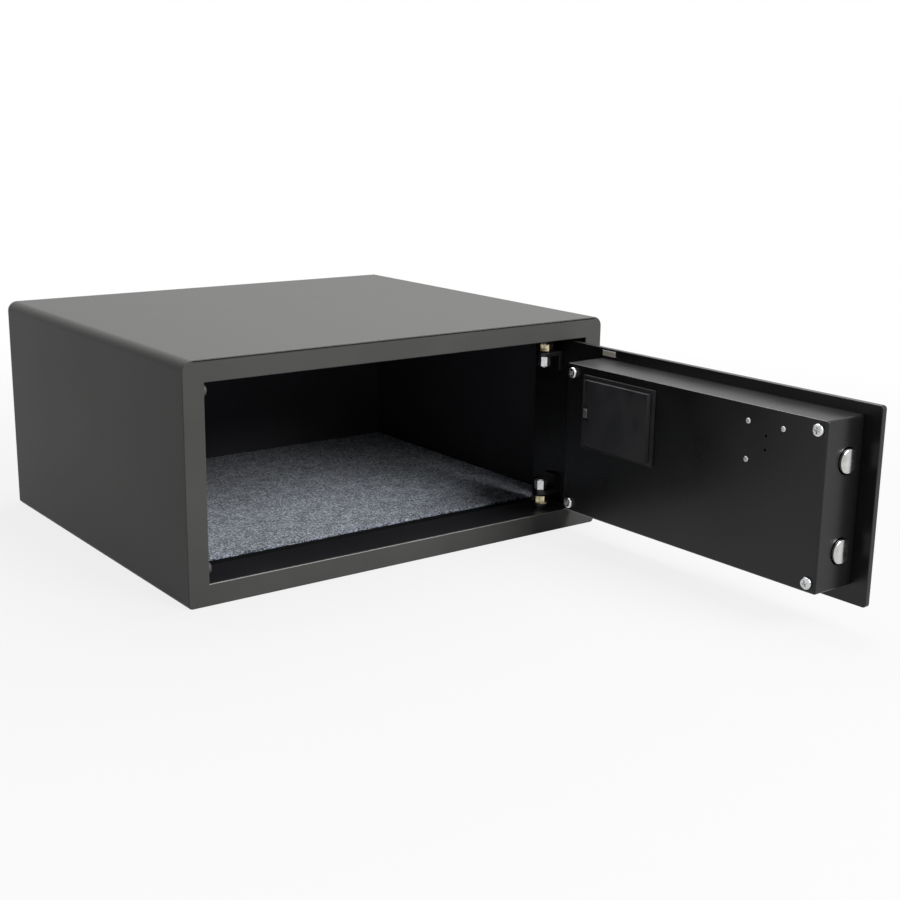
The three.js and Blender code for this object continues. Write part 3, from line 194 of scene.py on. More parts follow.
class DoorSettings(PropertyGroup):
    """Door plate, lock cover, battery box and their small hardware."""

    hexagon_turn: angle_prop(
        "Hexagon turn", "How far round the hinge screws and bushes are screwed in", 19.4)
    lid_gap: length_prop("Lid gap", "Between the battery lid and the rim round it", 0.5)
    pin_hole: length_prop("Pin hole", "Radius of the hole through a hinge bush", 3.25)
    spacer_height: length_prop("Spacer height", "Spacer between a rail and its bush", 4.2)
    flange_height: length_prop("Flange height", "Flange of a hinge bush", 1.3)
    plate_edge: length_prop("Plate edge", "Rounding of the door plate's cut edges", 0.6)
    cover_bend: length_prop("Cover bend", "Outer radius of the lock cover's folds", 1.8)
    door_colour: colour_prop("Door colour", "Satin black powder coat on the door", "#111112")
    plastic_colour: colour_prop("Plastic colour", "Black mouldings", "#29292b")
    plate_thickness: length_prop("Plate thickness", "Sheet of the door plate", 5)
    screw_head: length_prop("Screw head", "Height of a cover screw's head", 2.6)
    screw_radius: length_prop("Screw radius", "Radius of a cover screw's head", 4.9)
    rivet_radius: length_prop("Rivet radius", "Head of a control board rivet", 2.3)
    rivet_place: lengths_prop(
        "Rivet place", "Rivet nearest the door's free edge: from the pivot, and up", 303, 157)
    rivet_pitch: lengths_prop("Rivet pitch", "Between them, along the door and up", 34.2, 30.6)


class KeypadSettings(PropertyGroup):
    """Keypad unit on the outside of the door."""

    key_colour: colour_prop("Key colour", "Grey plastic of the keys", "#3f4143")
    legend_colour: colour_prop("Legend colour", "Printed signs on the keys", "#d9dadb")
    legend_height: length_prop("Legend height", "Height of a sign on a key", 7)


# Modelling helpers


def choose(piece):
    """Makes the piece the one selected and active object."""
    bpy.ops.object.select_all(action="DESELECT")
    piece.select_set(True)
    bpy.context.view_layer.objects.active = piece


def take_new(name):
    """Names the object that was just added and puts its place into its mesh."""
    piece = bpy.context.active_object
    piece.name = name
    piece.data.name = name
    bpy.ops.object.transform_apply(location=True, rotation=True, scale=True)
    return piece


def add_mesh(name, operator, scale=(1, 1, 1), **settings):
    """Adds a mesh by its operator and stretches it to its size."""
    operator(**settings)
    bpy.context.active_object.scale = scale
    return take_new(name)


def add_block(name, low, high):
    """A box between two corners."""
    low, high = Vector(low), Vector(high)
    return add_mesh(
        name, bpy.ops.mesh.primitive_cube_add, high - low, size=1, location=(low + high) / 2)


LIE_ALONG = {"X": (0, math.pi / 2, 0), "Y": (-math.pi / 2, 0, 0), "Z": (0, 0, 0)}


def add_round(name, radius, axis, start, end, centre, sides=48):
    """A round bar along an axis. Its centre is given on the other two, in X, Y, Z order."""
    middle = list(centre)
    middle.insert("XYZ".index(axis), (start + end) / 2)
    return add_mesh(
        name, bpy.ops.mesh.primitive_cylinder_add, vertices=sides, radius=radius,
        depth=end - start, location=middle, rotation=LIE_ALONG[axis])


def use_modifier(piece, kind, **settings):
    """Adds a modifier with its settings and applies it."""
    choose(piece)
    modifier = piece.modifiers.new(kind.title(), kind)
    for name, value in settings.items():
        setattr(modifier, name, value)
    bpy.ops.object.modifier_apply(modifier=modifier.name)
    return piece


def combine(piece, operation, *tools):
    """Joins, cuts or meets the piece with other solids, which are used up."""
    for tool in tools:
        use_modifier(piece, "BOOLEAN", object=tool, operation=operation, solver="EXACT")
        bpy.data.objects.remove(tool)
    return piece


def edit_whole(piece, *steps):
    """Runs mesh operators on the whole piece, each given with its settings."""
    choose(piece)
    bpy.ops.object.mode_set(mode="EDIT")
    bpy.ops.mesh.select_all(action="SELECT")
    for operator, settings in steps:
        operator(**settings)
    bpy.ops.object.mode_set(mode="OBJECT")
    return piece


FACE_OUT = (bpy.ops.mesh.normals_make_consistent, {"inside": False})


def round_edges(piece, width, segments=3, angle=40):
    """Rounds every edge that is sharper than the angle, in degrees."""
    return use_modifier(
        piece, "BEVEL", width=width, segments=segments, limit_method="ANGLE",
        angle_limit=math.radians(angle))


def bevel_edges(piece, wanted, width, segments):
    """Bevels the edges whose two ends pass the test."""
    choose(piece)
    bpy.ops.object.mode_set(mode="EDIT")
    bpy.ops.mesh.select_mode(type="EDGE")
    bpy.ops.mesh.select_all(action="DESELECT")
    bpy.ops.object.mode_set(mode="OBJECT")
    points = [vertex.co for vertex in piece.data.vertices]
    for edge in piece.data.edges:
        edge.select = wanted(points[edge.vertices[0]], points[edge.vertices[1]])
    bpy.ops.object.mode_set(mode="EDIT")
    bpy.ops.mesh.bevel(offset=width, segments=segments, affect="EDGES")
    bpy.ops.object.mode_set(mode="OBJECT")
    return piece


def near(a, b):
    """Whether two values are the same but for rounding."""
    return abs(a - b) < NEAR


def both_at(axis, value):
    """A test that an edge lies at one value of an axis."""
    return lambda a, b: near(a[axis], value) and near(b[axis], value)


def add_copy(piece, name, place):
    """Another of the same piece, with a mesh of its own that a matrix moves."""
    twin = bpy.data.objects.new(name, piece.data.copy())
    twin.data.name = name
    bpy.context.scene.collection.objects.link(twin)
    twin.data.transform(place)
    return twin


def copy_node(node, name, place=Matrix.Identity(4)):
    """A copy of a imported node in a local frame, its loose triangles made whole faces."""
    piece = add_copy(frame["nodes"][node], name, place.inverted())
    piece.data.materials.clear()
    return edit_whole(
        piece, (bpy.ops.mesh.remove_doubles, {"threshold": 0.01 * MM}),
        (bpy.ops.mesh.dissolve_limited, {"angle_limit": math.radians(0.5)}))


def turned_about(point, turn):
    """The turn about a point, and not about the origin."""
    return Matrix.Translation(point) @ turn @ Matrix.Translation(-point)


def door_box(node):
    """Lowest and highest corners of a door node in the door's own frame."""
    back = DOOR_PLACE.inverted()
    points = [back @ vertex.co for vertex in frame["nodes"][node].data.vertices]
    low = Vector([min(point[axis] for point in points) for axis in range(3)])
    high = Vector([max(point[axis] for point in points) for axis in range(3)])
    return low, high


def finish_piece(piece, slot, *nodes, body="body", finish=None, smooth=35, flat_faces=True):
    """Finishes a piece, hangs it on its body and hides the nodes that it stands for."""
    if not piece.data.materials:
        piece.data.materials.append(bpy.data.materials[finish or SLOT_FINISHES[slot]])
    choose(piece)
    bpy.ops.object.shade_smooth_by_angle(angle=math.radians(smooth))
    if flat_faces:
        # Large faces stay flat, and the shading turns only over the rounded edges
        use_modifier(piece, "WEIGHTED_NORMAL", keep_sharp=True)
    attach(piece, body)
    if nodes:
        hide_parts(*nodes)


def finish_on_door(piece, slot, *nodes, body="door", finish=None):
    """Swings a piece from the door's own frame to where the open door stands, and finishes it."""
    piece.data.transform(DOOR_PLACE)
    finish_piece(piece, slot, *nodes, body=body, finish=finish)


# Materials. A pattern that is really too fine to show is drawn coarser, and its comment says so.


def add_node(owner, kind, inputs=None, **settings):
    """Adds a shader node, makes its settings, and sets or links its inputs."""
    node = owner.node_tree.nodes.new("ShaderNode" + kind)
    for name, value in settings.items():
        setattr(node, name, value)
    for name, value in (inputs or {}).items():
        if isinstance(value, bpy.types.NodeSocket):
            owner.node_tree.links.new(value, node.inputs[name])
        else:
            node.inputs[name].default_value = value
    return node


def begin_material(name, **sockets):
    """A material with its shader, and the coordinates that its patterns read."""
    material = bpy.data.materials.new(name)
    material.use_nodes = True
    shader = material.node_tree.nodes["Principled BSDF"]
    for socket, value in sockets.items():
        shader.inputs[socket.replace("_", " ")].default_value = value
    place = add_node(material, "TexCoord").outputs["Object"]
    return material, shader, place


def spots(material, place, size, detail=2.0, stretch=(1, 1, 1), distortion=0.0):
    """A pattern whose spots have a real size, drawn out where the stretch is below 1."""
    spread = add_node(material, "Mapping", {"Vector": place, "Scale": stretch})
    noise = add_node(material, "TexNoise", {
        "Vector": spread.outputs["Vector"], "Scale": 1 / size, "Detail": detail,
        "Distortion": distortion})
    return noise.outputs["Fac"]


def tint(colour, factor, cast=(1, 1, 1)):
    """The same colour, lighter or darker, with a slight cast if one is given."""
    return (*[min(1, channel * part * factor) for channel, part in zip(colour, cast)], 1.0)


def dress(material, shader, tone, stops, roughness=None, wear=None, relief=None):
    """Runs a pattern through stops of position and colour, and spreads the roughness with it, or
    with a pattern of wear. A relief is a pattern with its real depth and its strength."""
    links = material.node_tree.links
    ramp = add_node(material, "ValToRGB", {"Fac": tone})
    points = ramp.color_ramp.elements
    while len(points) < len(stops):
        points.new(0.5)
    for point, (position, colour) in zip(points, stops):
        point.position = position
        point.color = colour
    links.new(ramp.outputs["Color"], shader.inputs["Base Color"])
    if roughness:
        spread = add_node(material, "MapRange", {
            "Value": wear or tone, "From Min": NOISE_LOW, "From Max": NOISE_HIGH,
            "To Min": roughness[0], "To Max": roughness[1]})
        links.new(spread.outputs["Result"], shader.inputs["Roughness"])
    if relief:
        height, depth, strength = relief
        bump = add_node(material, "Bump", {
            "Height": height, "Distance": depth, "Strength": strength})
        links.new(bump.outputs["Normal"], shader.inputs["Normal"])


def near_tones(colour, spread):
    """Stops from a little darker to a little lighter than a colour."""
    return [(NOISE_LOW, tint(colour, 1 - spread)), (NOISE_HIGH, tint(colour, 1 + spread))]


def powder_coat(name, colour, grain, depth, roughness, gloss):
    """Powder coat on sheet steel: melted grains leave a skin that spreads the light, with clouds
    where the powder fell thicker. The grain and its depth are in millimetres. A real one of 0.2 mm
    is too fine to show, so it is drawn coarser."""
    material, shader, place = begin_material(name, Specular_IOR_Level=gloss)
    skin = spots(material, place, grain * MM, detail=3.0)
    cloud = spots(material, place, 60 * MM, detail=3.0)
    dress(material, shader, cloud, near_tones(colour, 0.06), roughness,
          relief=(skin, depth * MM, 0.5))


def plated_metal(name, colour, shade, spot, roughness, stretch=(1, 1, 1)):
    """Plated or bare metal: two near tones in spots, whose size is given in millimetres."""
    material, shader, place = begin_material(name, Metallic=1.0)
    tone = spots(material, place, spot * MM, detail=4.0, stretch=stretch)
    stops = [(0.35, linear(shade)), (0.65, linear(colour))]
    dress(material, shader, tone, stops, roughness, relief=(tone, 0.01 * MM, 0.3))


def moulded_plastic(name, colour, grain, roughness):
    """Moulded plastic: the mould's spark-eroded grain, in millimetres, and a faint cloud of flow.
    A real grain of 0.1 mm is too fine to show, so it is drawn coarser."""
    material, shader, place = begin_material(name, Specular_IOR_Level=0.45)
    cloud = spots(material, place, 14 * MM)
    skin = spots(material, place, grain * MM)
    dress(material, shader, cloud, near_tones(colour, 0.08), roughness,
          relief=(skin, 0.05 * MM, 0.35))


def needle_felt(name, colour, speck):
    """Needle felt: fibres of several greys, tangled and matted, with a soft pile that catches the
    light. Its real specks of 1 mm would run into one grey, so they are drawn coarser."""
    material, shader, place = begin_material(
        name, Roughness=0.95, Sheen_Weight=0.25, Sheen_Roughness=0.6, Specular_IOR_Level=0.2)
    fleck = spots(material, place, speck, detail=6.0, distortion=0.8)
    fibre = spots(material, place, speck * 0.45)
    mixed = add_node(material, "Math", {0: fleck, 1: fibre}, operation="ADD")
    # Patches a finger wide where the pile is matted, a little lighter or darker than the rest
    matting = spots(material, place, 13 * MM)
    strength = 0.13
    patches = add_node(material, "Math", {
        0: matting, 1: strength, 2: -strength / 2}, operation="MULTIPLY_ADD")
    tone = add_node(material, "Math", {
        0: mixed.outputs[0], 1: 0.5, 2: patches.outputs[0]}, operation="MULTIPLY_ADD")
    warm, cold = (1.06, 1.0, 0.9), (0.88, 1.0, 1.12)
    stops = [
        (0.42, tint(colour, 0.1)), (0.46, tint(colour, 0.45, cold)),
        (0.49, tint(colour, 0.8, warm)), (0.515, tint(colour, 1.2, cold)),
        (0.545, tint(colour, 1.9, warm)), (0.585, tint(colour, 3.0))]
    pile = spots(material, place, speck / 2, detail=3.0)
    dress(material, shader, tone.outputs[0], stops, relief=(pile, 0.6 * MM, 0.7))


def clear_window(name, colour):
    """Acrylic window: dark red clear plastic with a hard polished face and a faint wide haze."""
    material, shader, place = begin_material(name, Coat_Weight=0.2, Coat_Roughness=0.03)
    haze = spots(material, place, 20 * MM)
    dress(material, shader, haze, near_tones(colour, 0.2), (0.06, 0.1))


def circuit_board(name, mask, copper):
    """Glass-fibre board: green solder mask over copper tracks. Real tracks are a millimetre apart,
    and these are drawn 3 mm apart, so that they show."""
    material, shader, place = begin_material(name, Coat_Weight=0.3, Coat_Roughness=0.2)
    tracks = add_node(material, "TexVoronoi", {
        "Vector": place, "Scale": 1 / (3 * MM)}, feature="F1", distance="MANHATTAN")
    stops = [(0.5, mask), (0.56, copper), (0.64, mask)]
    dress(material, shader, tracks.outputs["Distance"], stops, (0.35, 0.5),
          wear=spots(material, place, 6 * MM))


class Step:
    """What every step shares: it builds its pieces from the scene's settings."""

    def execute(self, context):
        self.build(context.scene)
        return {"FINISHED"}


class SAFE_OT_finishes(Step, Operator):
    """Makes every finish of the safe"""

    bl_idname = "safe.finishes"
    bl_label = "Finishes"

    def build(self, scene):
        body = scene.safe_body
        door = scene.safe_door
        keypad = scene.safe_keypad
        # Polyester powder with a fine structure: matt, evenly scattering graphite grey
        powder_coat("Graphite powder coat", body.shell_colour, 1.1, 0.05, (0.42, 0.46), 0.1)
        # The same powder, painted paler as a highlight on the sill's lip, and smoother
        powder_coat("Powder coat with painted highlight", body.lip_highlight_colour, 1.1, 0.02, (0.3, 0.4), 0.3)
        # Thin matt overspray on the inner walls: nearly no light comes back
        powder_coat("Matt black powder coat", body.inner_colour, 2.5, 0.02, (0.5, 0.6), 0.12)
        # Raised floor: nearly black with no gloss, darker than the other black coats as painted
        # shade
        powder_coat("Dull black coat with painted shade", linear("#111113"), 2.5, 0.02, (0.7, 0.8), 0.06)
        # Smooth black powder on the rails: deep, with a soft sheen along the folds
        powder_coat("Semi-gloss black powder coat", body.rail_colour, 2.5, 0.02, (0.3, 0.38), 0.5)
        # Satin black powder on the door: broad soft highlights and faint hand marks
        powder_coat("Satin black powder coat", door.door_colour, 2.2, 0.03, (0.26, 0.36), 0.33)
        needle_felt("Speckled needle felt", body.felt_colour, body.felt_speck)
        # Bright chrome over turned steel: mirror-like, with the ripple of the polishing
        plated_metal("Chrome plated steel", "#d3d3d1", "#b4b4b1", 9, (0.08, 0.15))
        # Clear-passivated zinc: bluish white, slightly cloudy
        plated_metal("Zinc plated steel", "#d6d7d8", "#b9bbbd", 4, (0.24, 0.34))
        # Yellow-passivated zinc: straw to dark bronze, as the thin film changes
        plated_metal("Yellow passivated zinc", "#cfc5a4", "#3d3524", 5, (0.12, 0.2))
        # Cold rolled steel: grey with fine lines along the rolling direction, drawn coarser
        plated_metal("Cold rolled steel", "#a6a8aa", "#85878a", 1.2, (0.3, 0.45), (1, 1, 0.05))
        # Machined brass: warm yellow with faint cutter marks, drawn coarser
        plated_metal("Machined brass", "#c9a65c", "#a98542", 1.5, (0.22, 0.36), (0.15, 1, 1))
        # Black ABS with the fine spark grain of its mould
        moulded_plastic("Moulded black ABS", door.plastic_colour, 0.8, (0.34, 0.46))
        # The same ABS, painted paler as a highlight and made shinier, for the latch tab
        moulded_plastic("Black ABS with painted highlight", linear("#6c6c6c"), 0.8, (0.26, 0.34))
        # Grey ABS keys, a little smoother where fingers press
        moulded_plastic("Moulded grey ABS", keypad.key_colour, 0.6, (0.4, 0.52))
        # Pad printing ink: a dead flat pale layer
        moulded_plastic("Pad printing ink", keypad.legend_colour, 0.5, (0.55, 0.65))
        # Loose polyester fibres: pale and soft where the knife has cut them
        moulded_plastic("Loose felt fibres", linear("#b0b5bd"), 0.5, (0.8, 0.9))
        # Nitrile rubber: dusty grey, with a soft bloom
        moulded_plastic("Moulded grey rubber", linear("#45423f"), 0.7, (0.6, 0.75))
        # Printed film shrunk over a steel can: smooth and slightly glossy
        moulded_plastic("Printed cell film", linear("#3c4450"), 2, (0.2, 0.3))
        # Matt polyester film of the label: warm pale grey, a little dusty
        moulded_plastic("Matt polyester film", linear("#e0d8cd"), 1.5, (0.5, 0.6))
        clear_window("Red acrylic", linear("#1c0707"))
        circuit_board("Glass fibre circuit board", linear("#1f4a2c"), linear("#3c7a49"))


# Body


GRAPHITE, MATT, LIP_HIGHLIGHT = range(3)  # The shell's coats, by their place among its materials


def two_coats(piece, low, high, sheet):
    """Graphite coat outside, matt black coat on every face that looks into the hollow."""
    for coat in ("Graphite powder coat", "Matt black powder coat"):
        piece.data.materials.append(bpy.data.materials[coat])
    middle = (low + high) / 2
    inner = (high - low) / 2 - Vector((sheet, sheet, sheet))
    for face in piece.data.polygons:
        out = face.center - middle
        within_walls = all(abs(out[axis]) < inner[axis] + NEAR for axis in (0, 2))
        inside = within_walls and out.y < inner.y + NEAR and face.center.y > low.y - NEAR
        if inside and face.normal.dot(out) < 0:
            face.material_index = MATT


def long_edges(height, half):
    """A test for a box's two edges from front to back at a height, half its width out."""
    return lambda a, b: both_at(2, height)(a, b) and abs(a.x) > half - NEAR and near(a.x, b.x)


class SAFE_OT_shell(Step, Operator):
    """Folded shell and front frame, welded and ground into one form"""

    bl_idname = "safe.shell"
    bl_label = "Body shell"

    def build(self, scene):
        settings = scene.safe_body
        low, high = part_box("body_wrap")
        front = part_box("front_frame")[0].y
        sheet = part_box("base_plate")[1].z - low.z
        border = settings.frame_border
        top_steps, bottom_steps = 14, 6

        shell = add_block("body_shell", (low.x, front, low.z), high)
        bevel_edges(shell, long_edges(high.z, high.x), settings.top_radius, top_steps)
        bevel_edges(shell, long_edges(low.z, high.x), settings.bottom_radius, bottom_steps)
        hollow = add_block(
            "shell_hollow", (low.x + sheet, low.y, low.z - sheet),
            (high.x - sheet, high.y + sheet, high.z - sheet))
        inner_top = long_edges(high.z - sheet, high.x - sheet)
        bevel_edges(hollow, inner_top, settings.top_radius - sheet, top_steps)
        opening = add_block(
            "shell_opening", (low.x + border, front - sheet, low.z + border),
            (high.x - border, low.y + sheet, high.z - border))
        # The weld has left a seam open below the top sheet, all but at its ends
        seam_depth, below_lip = 1.6 * MM, 0.1 * MM
        seam_top = high.z - settings.lip_radius - below_lip
        seam_low = Vector((
            low.x + settings.top_radius, front - sheet, seam_top - settings.seam_width))
        seam_high = Vector((high.x - settings.top_radius, front + seam_depth, seam_top))
        combine(shell, "DIFFERENCE", hollow, opening, add_block("seam", seam_low, seam_high))

        def in_seam(point, axes):
            return all(
                seam_low[axis] - NEAR < point[axis] < seam_high[axis] + NEAR for axis in axes)

        def lips(a, b):
            on_front, on_back = both_at(1, front)(a, b), both_at(1, high.y)(a, b)
            outside = abs(a.x) > high.x - NEAR or a.z > high.z - settings.top_radius - NEAR
            along_seam = in_seam(a, (0, 2)) and in_seam(b, (0, 2))
            return (on_front and not along_seam) or (on_back and outside)

        def seam_lip(a, b):
            return both_at(2, seam_low.z)(a, b) and both_at(1, front)(a, b)

        bevel_edges(shell, lips, settings.lip_radius, 4)
        bevel_edges(shell, seam_lip, 0.35 * MM, 3)
        two_coats(shell, low, high, sheet)
        # A paler coat that paints a highlight on the sill's lip
        shell.data.materials.append(bpy.data.materials["Powder coat with painted highlight"])
        sill, slant = low.z + border, 0.2
        for face in shell.data.polygons:
            middle, normal = face.center, face.normal
            on_sill = abs(middle.z - sill) < settings.lip_radius
            # The seam's faces take the darker matt coat: a dark joint, deepened as painted shade
            if in_seam(middle, range(3)) and middle.y > front + NEAR:
                face.material_index = MATT
            # Faces of the sill's lip that turn up and forward take the painted highlight
            elif on_sill and normal.z > slant and normal.y < -slant:
                face.material_index = LIP_HIGHLIGHT
        finish_piece(shell, "graphite_paint", "body_wrap", "front_frame")
        panel = copy_node("back_panel", "back_sheet")
        two_coats(panel, low, high, sheet)
        finish_piece(panel, "graphite_paint", "back_panel")


class SAFE_OT_stops(Step, Operator):
    """Rubber sleeves with a rounded nose on the two studs that the door closes against"""

    bl_idname = "safe.stops"
    bl_label = "Door stops"

    def build(self, scene):
        settings = scene.safe_body
        rubber, nose = 0.2 * MM, 1.6 * MM
        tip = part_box("strike_rail")[1].x + rubber
        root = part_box("front_frame")[0].x + settings.frame_border
        for name, height in zip(("door_stop_top", "door_stop_bottom"), settings.stop_heights):
            stop = add_round(
                name, settings.stop_radius, "X", root, tip, (settings.stop_setback, height))
            bevel_edges(stop, both_at(0, tip), nose, 5)
            finish_piece(stop, "grey_rubber")


class SAFE_OT_carpet(Step, Operator):
    """Needle felt mat on the raised floor, with its cut edge and loose fibres"""

    bl_idname = "safe.carpet"
    bl_label = "Carpet"

    def build(self, scene):
        low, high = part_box("carpet_mat")
        width, depth, thick = [high[axis] - low[axis] for axis in range(3)]
        pile = 0.25 * MM
        mat = add_mesh(
            "carpet_felt", bpy.ops.mesh.primitive_grid_add,
            (width - 2 * pile, depth - 2 * pile, 1), x_subdivisions=180, y_subdivisions=130,
            size=1, location=((low.x + high.x) / 2, (low.y + high.y) / 2, high.z - pile))
        uneven = {"offset": pile, "uniform": 0.6, "normal": 0, "seed": 4}
        edit_whole(mat, (bpy.ops.transform.vertex_random, uneven))
        use_modifier(mat, "SOLIDIFY", thickness=thick - 2 * pile, offset=-1)
        edit_whole(mat, FACE_OUT)
        finish_piece(mat, "carpet", "carpet_mat", smooth=60, flat_faces=False)
        self.add_fibres(scene.safe_body.edge_fibres, low, high)

    def add_fibres(self, count, low, high):
        """Fibres that the knife has left standing along the front edge."""
        chance = random.Random(11)
        root, tip, clear = 0.32 * MM, 0.1 * MM, 2 * MM
        lowest = low.z + (high.z - low.z) * 0.45
        tufts = []
        for _ in range(count):
            reach = chance.uniform(1.2, 3.0) * MM
            place = (
                chance.uniform(low.x + clear, high.x - clear),
                low.y + chance.uniform(0.0, 0.8) * MM,
                chance.uniform(lowest, high.z - 0.3 * MM))
            lean = (
                chance.uniform(1.2, 2.3), chance.uniform(-0.3, 0.3), chance.uniform(-1.2, 1.2))
            bpy.ops.mesh.primitive_cone_add(
                vertices=4, radius1=root, radius2=tip, depth=reach, location=place,
                rotation=lean)
            tufts.append(bpy.context.active_object)
        choose(tufts[0])
        for tuft in tufts:
            tuft.select_set(True)
        bpy.ops.object.join()
        fringe = take_new("carpet_edge_fibres")
        finish_piece(fringe, "carpet", finish="Loose felt fibres")


class SAFE_OT_hinges(Step, Operator):
    """Hexagon screws, bushes with flanges, and the hinge arms of the door"""

    bl_idname = "safe.hinges"
    bl_label = "Hinge hardware"

    def build(self, scene):
        settings = scene.safe_door
        screwed_in = turned_about(PIVOT, Matrix.Rotation(settings.hexagon_turn, 4, "Z"))
        for end in ("top", "bottom"):
            screw_node, bush_node, arm_node = [
                f"hinge_{part}_{end}" for part in ("screw", "bush", "arm")]
            screw = round_edges(copy_node(screw_node, f"hinge_bolt_{end}"), 0.45 * MM)
            screw.data.transform(screwed_in)
            finish_piece(screw, "zinc", screw_node)
            bush = self.make_bush(end, bush_node, settings)
            bush.data.transform(screwed_in)
            finish_piece(bush, "yellow_zinc", bush_node)
            arm = round_edges(copy_node(arm_node, f"hinge_leaf_{end}", DOOR_PLACE), 0.5 * MM)
            finish_on_door(arm, "door_paint", arm_node)

    def make_bush(self, end, node, settings):
        """The bush's hexagon and flange, which stand on a black spacer against the rail."""
        low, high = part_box(node)
        rail, rim, towards_arm = (high.z, low.z, -1) if end == "top" else (low.z, high.z, 1)
        radius = (high.x - low.x) / 2
        ease, chamfer, overlap = 0.3 * MM, 1.1 * MM, 0.2 * MM

        def sleeve(name, size, near, far):
            """A ring round the pin, between two distances from the rail."""
            start, stop = sorted((rail + towards_arm * near, rail + towards_arm * far))
            hole = add_round("hole", settings.pin_hole, "Z", start - MM, stop + MM, PIVOT.xy)
            bar = add_round(name, size, "Z", start, stop, PIVOT.xy)
            return combine(bar, "DIFFERENCE", hole)

        seat = settings.spacer_height
        flange = seat + settings.flange_height
        spacer = round_edges(sleeve(f"hinge_spacer_{end}", radius * 0.8, 0, seat), ease)
        finish_piece(spacer, "inner_paint")
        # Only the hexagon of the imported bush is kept; its foot makes room for the new flange
        bush = copy_node(node, f"hinge_collar_{end}")
        foot_low, foot_high = sorted((
            rail - towards_arm * MM, rail + towards_arm * (flange - overlap)))
        reach = Vector((radius * 1.5, radius * 1.5, 0))
        foot = add_block(
            "foot", Vector((*PIVOT.xy, foot_low)) - reach,
            Vector((*PIVOT.xy, foot_high)) + reach)
        combine(bush, "DIFFERENCE", foot)

        def hexagon_rim(a, b):
            distance = min((a - PIVOT).xy.length, (b - PIVOT).xy.length)
            return both_at(2, rim)(a, b) and distance > radius * 0.8

        bevel_edges(bush, hexagon_rim, chamfer, 1)
        combine(bush, "UNION", sleeve("flange", radius, seat, flange))
        return round_edges(bush, ease)


# Door


def fold_edges(low, high):
    """A test for the folds of a tray-shaped sheet whose open side faces outwards."""
    def wanted(a, b):
        return sum(
            near(a[axis], b[axis])
            and (near(a[axis], low[axis]) or (axis != 1 and near(a[axis], high[axis])))
            for axis in range(3)) >= 2
    return wanted


class SAFE_OT_plate(Step, Operator):
    """Door plate with its cut edges eased"""

    bl_idname = "safe.plate"
    bl_label = "Door plate"

    def build(self, scene):
        settings = scene.safe_door
        plate = copy_node("door_plate", "door_slab", DOOR_PLACE)
        low, high = door_box("door_plate")
        inner = high.y - settings.plate_thickness
        corner = 3.1 * MM  # Just more than the radius of the plate's corners

        def on_outline(point):
            return min(
                point.x - low.x, high.x - point.x, point.z - low.z, high.z - point.z) < corner

        def cut_edges(a, b):
            on_face = both_at(1, high.y)(a, b) or both_at(1, inner)(a, b)
            return on_face and on_outline(a) and on_outline(b)

        bevel_edges(plate, cut_edges, settings.plate_edge, 3)
        finish_on_door(plate, "door_paint", "door_plate")


class SAFE_OT_cover(Step, Operator):
    """Folded lock cover with soft bends"""

    bl_idname = "safe.cover"
    bl_label = "Lock cover"

    def build(self, scene):
        cover = copy_node("lock_cover", "lock_cover_sheet", DOOR_PLACE)
        bevel_edges(
            cover, fold_edges(*door_box("lock_cover")), scene.safe_door.cover_bend, 5)
        finish_on_door(cover, "door_paint", "lock_cover")


class SAFE_OT_screws(Step, Operator):
    """Pan-head screws with a cross recess"""

    bl_idname = "safe.screws"
    bl_label = "Cover screws"

    def build(self, scene):
        settings = scene.safe_door
        places = [door_box(f"cover_screw_{number}") for number in range(1, 5)]
        low, high = places[0]
        centre = (low + high) / 2
        axis = (centre.x, centre.z)
        seat = low.y + settings.screw_head
        radius = settings.screw_radius
        screw = add_round("cover_screw", radius, "Y", low.y, seat, axis)
        bevel_edges(screw, both_at(1, low.y), settings.screw_head * 0.62, 7)
        long, wide, deep = radius * 0.52, 0.55 * MM, 1.5 * MM
        slots = [
            add_block(
                "slot", (centre.x - x, low.y - MM, centre.z - z),
                (centre.x + x, low.y + deep, centre.z + z))
            for x, z in ((long, wide), (wide, long))]
        combine(screw, "DIFFERENCE", *slots)
        round_edges(screw, 0.12 * MM, segments=2, angle=50)
        shank, sunk = 2 * MM, 0.8 * MM
        combine(screw, "UNION", add_round(
            "shank", shank, "Y", seat - sunk, high.y, axis, sides=24))
        # Each screw stops at its own angle
        step = math.radians(23)
        for number, (corner, _) in enumerate(places, 1):
            move = Matrix.Translation(corner - low)
            twin = add_copy(screw, f"pan_head_screw_{number}", move)
            turn = Matrix.Rotation(step * number, 4, "Y")
            twin.data.transform(turned_about(centre + corner - low, turn))
            finish_on_door(twin, "zinc", f"cover_screw_{number}")
        bpy.data.objects.remove(screw)


class SAFE_OT_rivets(Step, Operator):
    """Three domed rivets that hold the control board's spacers to the cover"""

    bl_idname = "safe.rivets"
    bl_label = "Rivets"

    def build(self, scene):
        settings = scene.safe_door
        face = door_box("lock_cover")[0].y
        place = tuple(settings.rivet_place)
        along, up = settings.rivet_pitch
        top = face - 0.9 * MM
        rivet = add_round(
            "rivet", settings.rivet_radius, "Y", top, face - 0.05 * MM, place, sides=32)
        bevel_edges(rivet, both_at(1, top), 0.7 * MM, 5)
        stem_radius, stem_start, stem_end = 1.3 * MM, face - 0.4 * MM, face + 1.1 * MM
        combine(rivet, "UNION", add_round(
            "stem", stem_radius, "Y", stem_start, stem_end, place, sides=24))
        for number, move in enumerate(((0, 0, 0), (-along, 0, 0), (-along, 0, -up)), 1):
            twin = add_copy(rivet, f"cover_rivet_{number}", Matrix.Translation(move))
            finish_on_door(twin, "zinc")
        bpy.data.objects.remove(rivet)


